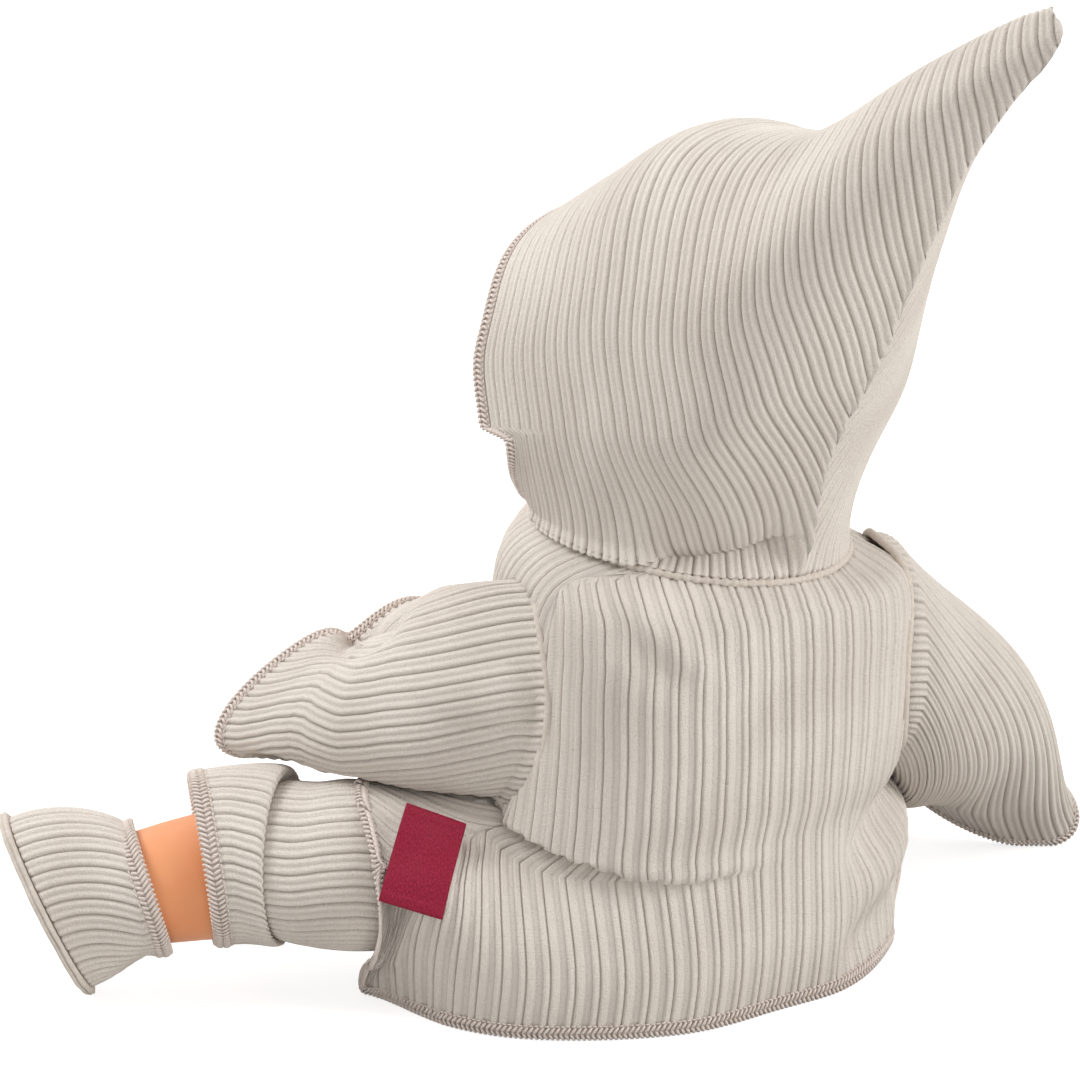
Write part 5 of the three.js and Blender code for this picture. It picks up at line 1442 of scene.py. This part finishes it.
def make_head():
    sides = 160
    angle = np.arange(sides) * 360 / sides

    def neck(radius, z, y=0.0):
        turn = np.radians(angle)
        return np.stack([radius * np.sin(turn), y - radius * np.cos(turn), np.full(sides, z)], -1)

    groove = [(13, 106.5), (19, 106.5), (19, 109.7), (16, 110.5), (16, 114.5), (18, 115.5)]
    rings = [neck(radius, z) for radius, z in groove]
    rings += [neck(18, z, -(z - 116) / 13) for z in np.linspace(117, 129, 6)]
    for polar in np.linspace(0.84 * np.pi, 0.01 * np.pi, 120):
        rings.append(head_place(angle, np.full(sides, HEAD_CENTRE + HEAD_HALF[2] * math.cos(polar))))
    places, faces = skin(rings)
    rel = places - [0, HEAD_FORWARD, 0]
    away = np.abs(np.degrees(np.arctan2(rel[:, 0], -rel[:, 1])))
    z = places[:, 2]
    blush = 0.55 * bump(away, 36, 13) * bump(z, 154, 8)
    lips = smooth((bump(away, 0, 12) * np.maximum(bump(z, 149.6, 1.9), bump(z, 146.0, 1.8)) - 0.42) / 0.16)
    brow_at = 181.5 + 1.5 * bump(away, 24, 9)
    brow = 0.6 * smooth((bump(z, brow_at, 1.0) * bump(away, 24, 11) - 0.35) / 0.3)
    data = {"paint": np.stack([blush, 0.75 * lips, brow], -1)}
    places = turned_head(places)
    head = mesh_object("head_vinyl", places, facing_out(places, faces), finishes()["vinyl"], data)
    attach(head, "head")
    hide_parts("head_shell")
    for side, sign in (("left", 1), ("right", -1)):
        reach = HEAD_HALF[1] - EYE_SINK
        a = math.radians(EYE_ANGLE)
        way = np.array([sign * math.sin(a), -math.cos(a), 0.0])
        centre = np.array([0, HEAD_FORWARD, EYE_HEIGHT]) + reach * way
        front = unit(np.array([sign * 0.12, -1.0, 0.02]))
        e = unit(np.cross(front, [0, 0, 1.0]))
        f = np.cross(e, front)
        turn = 2 * np.pi * np.arange(48) / 48
        rings = []
        look = []
        for polar in np.linspace(0.02, np.pi - 0.02, 40):
            ring = front * math.cos(polar)
            ring = ring + math.sin(polar) * (np.cos(turn)[:, None] * e + np.sin(turn)[:, None] * f)
            rings.append(centre + ring * EYE_RADIUS)
            value = polar / 1.6
            look += [(value, math.cos(t) * value, math.sin(t) * value) for t in turn]
        rings = turned_head(np.array(rings))
        eye_places, eye_faces = skin(rings)
        eye_faces = facing_out(eye_places, eye_faces)
        eye = mesh_object(f"eye_{side}_acrylic", eye_places, eye_faces, finishes()["eye"], {"look": look})
        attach(eye, "head")
        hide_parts(f"eye_{side}")


def make_neck_seam():
    """The seam that joins hood and jacket, pulled in by its stitches."""
    turn = np.linspace(0, 2 * np.pi, 160, endpoint=False)
    radius = NECKLINE_RADIUS + 0.2
    path = np.stack([radius * np.sin(turn), -radius * np.cos(turn), np.full_like(turn, HOOD_BASE)], -1)
    path = path[np.abs((turn + np.pi) % (2 * np.pi) - np.pi) > np.radians(HOOD_FRONT_ANGLE)]
    seam = seam_cord("neckline_seam", neck_tilt(path), 1.1, closed=False, dents=0.4)
    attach(seam, "torso")


# Stuffed cloth parts, by node: body that carries it, finish, how full it is
STUFFED = {
    "body_cover": ("torso", "body", 0.9), "body_filling": ("torso", "fibre", 0.9),
    "upper_arm_left": ("arm_left", "body", 0.8), "upper_arm_right": ("arm_right", "body", 0.8),
    "thigh_left": ("leg_left", "body", 0.8), "thigh_right": ("leg_right", "body", 0.8),
    "trouser_seat": ("torso", "knit", 0.9), "waistband": ("torso", "seam", 0.9),
}

# Grain of the skins that are drawn over stuffed parts and over hands, in metres
STUFFED_GRAIN = 0.0009
HAND_GRAIN = 0.0007


def solid_places(node):
    """Corners in millimetres and faces of a node's solid."""
    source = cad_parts[node]
    corners = np.empty(len(source.data.vertices) * 3)
    source.data.vertices.foreach_get("co", corners)
    turn = np.array(source.matrix_world)
    places = corners.reshape(-1, 3) @ turn[:3, :3].T + turn[:3, 3]
    return places / MM, [list(p.vertices) for p in source.data.polygons]


def make_stuffed_parts():
    """Stuffed cloth, uneven where the fibre lies in it, and the trouser seat in the suit's rib."""
    for node, (body, finish, fill) in STUFFED.items():
        piece = mesh_object(node + "_soft", *solid_places(node), finishes()[finish])
        blend_skin(piece, STUFFED_GRAIN)
        count = len(piece.data.vertices)
        corners, normals = np.empty(count * 3), np.empty(count * 3)
        piece.data.vertices.foreach_get("co", corners)
        piece.data.vertices.foreach_get("normal", normals)
        places, normals = corners.reshape(-1, 3) / MM, normals.reshape(-1, 3)
        x, y, z = places.T
        relief = 0.25 * np.sin(0.9 * x + 0.5 * z) * np.sin(0.7 * y - 0.4 * z) - 0.3
        if finish == "knit":
            round_body = np.arctan2(x, -y) * 44
            relief = rib_relief(round_body, RELAXED) - 1.0
            # Painted shade in the grooves and painted highlight on the rib tops, kept in the rib attribute
            tone = rib_shade_and_highlight(round_body, RELAXED)
            cloth = np.stack([round_body, z, np.full_like(z, 9)], -1)
            for key, value in (("cloth", cloth), ("rib", np.stack([tone] * 3, -1))):
                attribute = piece.data.attributes.new(key, "FLOAT_VECTOR", "POINT")
                attribute.data.foreach_set("vector", value.astype(np.float32).ravel())
        moved = (places + normals * relief[:, None]) * MM
        piece.data.vertices.foreach_set("co", moved.ravel())
        piece.data.update()
        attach(piece, body)
        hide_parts(node)


def dress_small_parts():
    """Ties and strips keep their solids and get their finishes."""
    ties = ["neck_tie", "arm_tie_left", "arm_tie_right", "leg_tie_left", "leg_tie_right"]
    for node in ties + ["hook_strip", "loop_strip"]:
        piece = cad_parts[node]
        piece.data.materials.clear()
        piece.data.materials.append(finishes()["cord"])


# Stage, in metres
CAMERA_AZIMUTH = 147.0
CAMERA_ELEVATION = 21.0
CAMERA_DISTANCE = 1.2
CAMERA_LENS = 156.0
AIM = Vector((0, 0, 0.110))
# How far to the right of the aim, and above it, the camera looks
LOOK_RIGHT = -0.03897
LOOK_UP = 0.00513


def seen_plainly(tree):
    """1 where the camera sees the backdrop, straight or in something that reflects it."""
    path = add_node(tree, "ShaderNodeLightPath").outputs
    rays = {0: path["Is Camera Ray"], 1: path["Is Glossy Ray"]}
    return add_node(tree, "ShaderNodeMath", rays, operation="MAXIMUM").outputs[0]


def paper():
    """Matt white paper backdrop: it shows plain white and keeps a soft shadow."""
    material, tree, shader = new_material(
        "matt_paper", {"Base Color": linear("#C8C6C4"), "Roughness": 0.9, "Emission Color": (1, 1, 1, 1)}
    )
    dimmed = {0: seen_plainly(tree), 1: 0.72}
    glow = add_node(tree, "ShaderNodeMath", dimmed, operation="MULTIPLY").outputs[0]
    tree.links.new(glow, shader.inputs["Emission Strength"])
    return material


def facing_aim(name, data, place, target):
    """Puts a camera or a lamp in its place and turns it to its target."""
    thing = bpy.data.objects.new(name, data)
    thing.location = place
    thing.rotation_mode = "QUATERNION"
    thing.rotation_quaternion = (target - thing.location).to_track_quat("-Z", "Y")
    bpy.context.scene.collection.objects.link(thing)
    return thing


def make_stage():
    scene = bpy.context.scene
    a, e = math.radians(CAMERA_AZIMUTH), math.radians(CAMERA_ELEVATION)
    back = Vector((math.sin(a) * math.cos(e), -math.cos(a) * math.cos(e), math.sin(e)))
    right = Vector((math.cos(a), math.sin(a), 0))
    up = back.cross(right)
    camera = bpy.data.cameras.new("camera")
    camera.lens = CAMERA_LENS
    camera.sensor_width = 36
    camera.clip_start = 0.05
    camera.clip_end = 30
    target = AIM + right * LOOK_RIGHT + up * LOOK_UP
    scene.camera = facing_aim("camera", camera, AIM + back * CAMERA_DISTANCE, target)

    corners = [(-4000, -4000, 0), (4000, -4000, 0), (4000, 4000, 0), (-4000, 4000, 0)]
    floor = mesh_object("floor", corners, [[0, 1, 2, 3]], paper(), shade=False)

    world = bpy.data.worlds.new("studio")
    world.use_nodes = True
    tree = world.node_tree
    shader = tree.nodes["Background"]
    levels = {"Value": seen_plainly(tree), "To Min": 0.52, "To Max": 1.0}
    strength = add_node(tree, "ShaderNodeMapRange", levels).outputs["Result"]
    shader.inputs["Color"].default_value = (1, 1, 1, 1)
    tree.links.new(strength, shader.inputs["Strength"])
    scene.world = world

    # Lamps: name, place from the aim, width, watts
    lamps = [
        ("window", right * -1.2 + up * 1.3 + back * 0.5, 0.8, 17.0),
        ("fill", right * 1.5 + up * 0.6 + back * 0.7, 1.0, 15.0),
        ("low", back * 1.5 + right * 0.5, 1.2, 3.0),
        ("front", Vector((0.3, -1.3, 1.0)), 1.2, 9.0),
    ]
    for name, place, width, watts in lamps:
        lamp = bpy.data.lights.new(name, "AREA")
        lamp.shape = "DISK"
        lamp.size = width
        lamp.energy = watts
        facing_aim(name, lamp, AIM + place, AIM)
    scene.view_settings.view_transform = "Standard"


class DollColours(bpy.types.PropertyGroup):
    """Colours of the suit."""

    knit: FloatVectorProperty(
        name="Knit, light", description="Lighter tone of the ribbed knit", subtype="COLOR", size=4,
        default=linear("#EFE6DC"), min=0, max=1,
    )
    knit_shade: FloatVectorProperty(
        name="Knit, shade", description="Darker tone of the ribbed knit", subtype="COLOR", size=4,
        default=linear("#E6DCD2"), min=0, max=1,
    )
    overlock: FloatVectorProperty(
        name="Edge", description="Cloth under the overlocked edges", subtype="COLOR", size=4,
        default=linear("#E0D4CA"), min=0, max=1,
    )


class DollSizes(bpy.types.PropertyGroup):
    """Sizes of the cloth and its stitches."""

    cloth: FloatProperty(
        name="Cloth", description="Thickness of the ribbed knit", default=CLOTH * MM, min=0, precision=5,
        unit="LENGTH",
    )
    stitch: FloatProperty(
        name="Stitch", description="Length of an overlock stitch", default=STITCH * MM, min=0.0005,
        precision=5, unit="LENGTH",
    )
    overlock_width: FloatProperty(
        name="Overlock width", description="Width of the stitched edges", default=OVERLOCK_WIDTH * MM,
        min=0.001, precision=5, unit="LENGTH",
    )


class DOLL_OT_stage(bpy.types.Operator):
    """Camera, paper floor and soft light"""

    bl_idname = "doll.stage"
    bl_label = "Stage"

    def execute(self, context):
        make_stage()
        return {"FINISHED"}


class DOLL_OT_hood(bpy.types.Operator):
    """Hood of ribbed knit with a pointed peak"""

    bl_idname = "doll.hood"
    bl_label = "Hood"

    def execute(self, context):
        make_hood()
        make_neck_seam()
        return {"FINISHED"}


class DOLL_OT_jacket(bpy.types.Operator):
    """Back and two fronts of the jacket"""

    bl_idname = "doll.jacket"
    bl_label = "Jacket"

    def execute(self, context):
        make_jacket()
        return {"FINISHED"}


class DOLL_OT_label(bpy.types.Operator):
    """Satin label in the left side seam"""

    bl_idname = "doll.label"
    bl_label = "Side label"

    def execute(self, context):
        make_label()
        return {"FINISHED"}


class DOLL_OT_sleeves(bpy.types.Operator):
    """Two wide sleeves"""

    bl_idname = "doll.sleeves"
    bl_label = "Sleeves"

    def execute(self, context):
        make_sleeves()
        return {"FINISHED"}


class DOLL_OT_trousers(bpy.types.Operator):
    """Two trouser legs"""

    bl_idname = "doll.trousers"
    bl_label = "Trouser legs"

    def execute(self, context):
        make_trouser_legs()
        return {"FINISHED"}


class DOLL_OT_booties(bpy.types.Operator):
    """Two booties with soles"""

    bl_idname = "doll.booties"
    bl_label = "Booties"

    def execute(self, context):
        make_booties()
        return {"FINISHED"}


class DOLL_OT_legs(bpy.types.Operator):
    """Two vinyl lower legs"""

    bl_idname = "doll.legs"
    bl_label = "Lower legs"

    def execute(self, context):
        make_legs()
        return {"FINISHED"}


class DOLL_OT_forearms(bpy.types.Operator):
    """Two vinyl forearms with hands"""

    bl_idname = "doll.forearms"
    bl_label = "Forearms"

    def execute(self, context):
        make_forearms()
        return {"FINISHED"}


class DOLL_OT_head(bpy.types.Operator):
    """Vinyl head with its eyes"""

    bl_idname = "doll.head"
    bl_label = "Head"

    def execute(self, context):
        make_head()
        return {"FINISHED"}


class DOLL_OT_small_parts(bpy.types.Operator):
    """Ties, strips and stuffed parts"""

    bl_idname = "doll.small_parts"
    bl_label = "Small parts"

    def execute(self, context):
        make_stuffed_parts()
        dress_small_parts()
        return {"FINISHED"}


OPERATORS = [
    DOLL_OT_stage, DOLL_OT_hood, DOLL_OT_jacket, DOLL_OT_label, DOLL_OT_sleeves, DOLL_OT_trousers,
    DOLL_OT_booties, DOLL_OT_legs, DOLL_OT_forearms, DOLL_OT_head, DOLL_OT_small_parts,
]


class DOLL_PT_panel(bpy.types.Panel):
    """Lists the pieces of the doll"""

    bl_label = "Doll"
    bl_idname = "DOLL_PT_panel"
    bl_space_type = "VIEW_3D"
    bl_region_type = "UI"
    bl_category = "Doll"

    def draw(self, context):
        for group in (context.scene.doll_colours, context.scene.doll_sizes):
            for name in group.bl_rna.properties.keys():
                if name not in {"rna_type", "name"}:
                    self.layout.prop(group, name)
        for operator in OPERATORS:
            self.layout.operator(operator.bl_idname)


CLASSES = [DollColours, DollSizes, *OPERATORS, DOLL_PT_panel]


def register():
    for kind in CLASSES:
        bpy.utils.register_class(kind)
    bpy.types.Scene.doll_colours = PointerProperty(type=DollColours)
    bpy.types.Scene.doll_sizes = PointerProperty(type=DollSizes)


def unregister():
    del bpy.types.Scene.doll_sizes
    del bpy.types.Scene.doll_colours
    for kind in reversed(CLASSES):
        bpy.utils.unregister_class(kind)


def main():
    register()
    for operator in OPERATORS:
        group, name = operator.bl_idname.split(".")
        getattr(getattr(bpy.ops, group), name)()


if __name__ == "__main__":
    main()
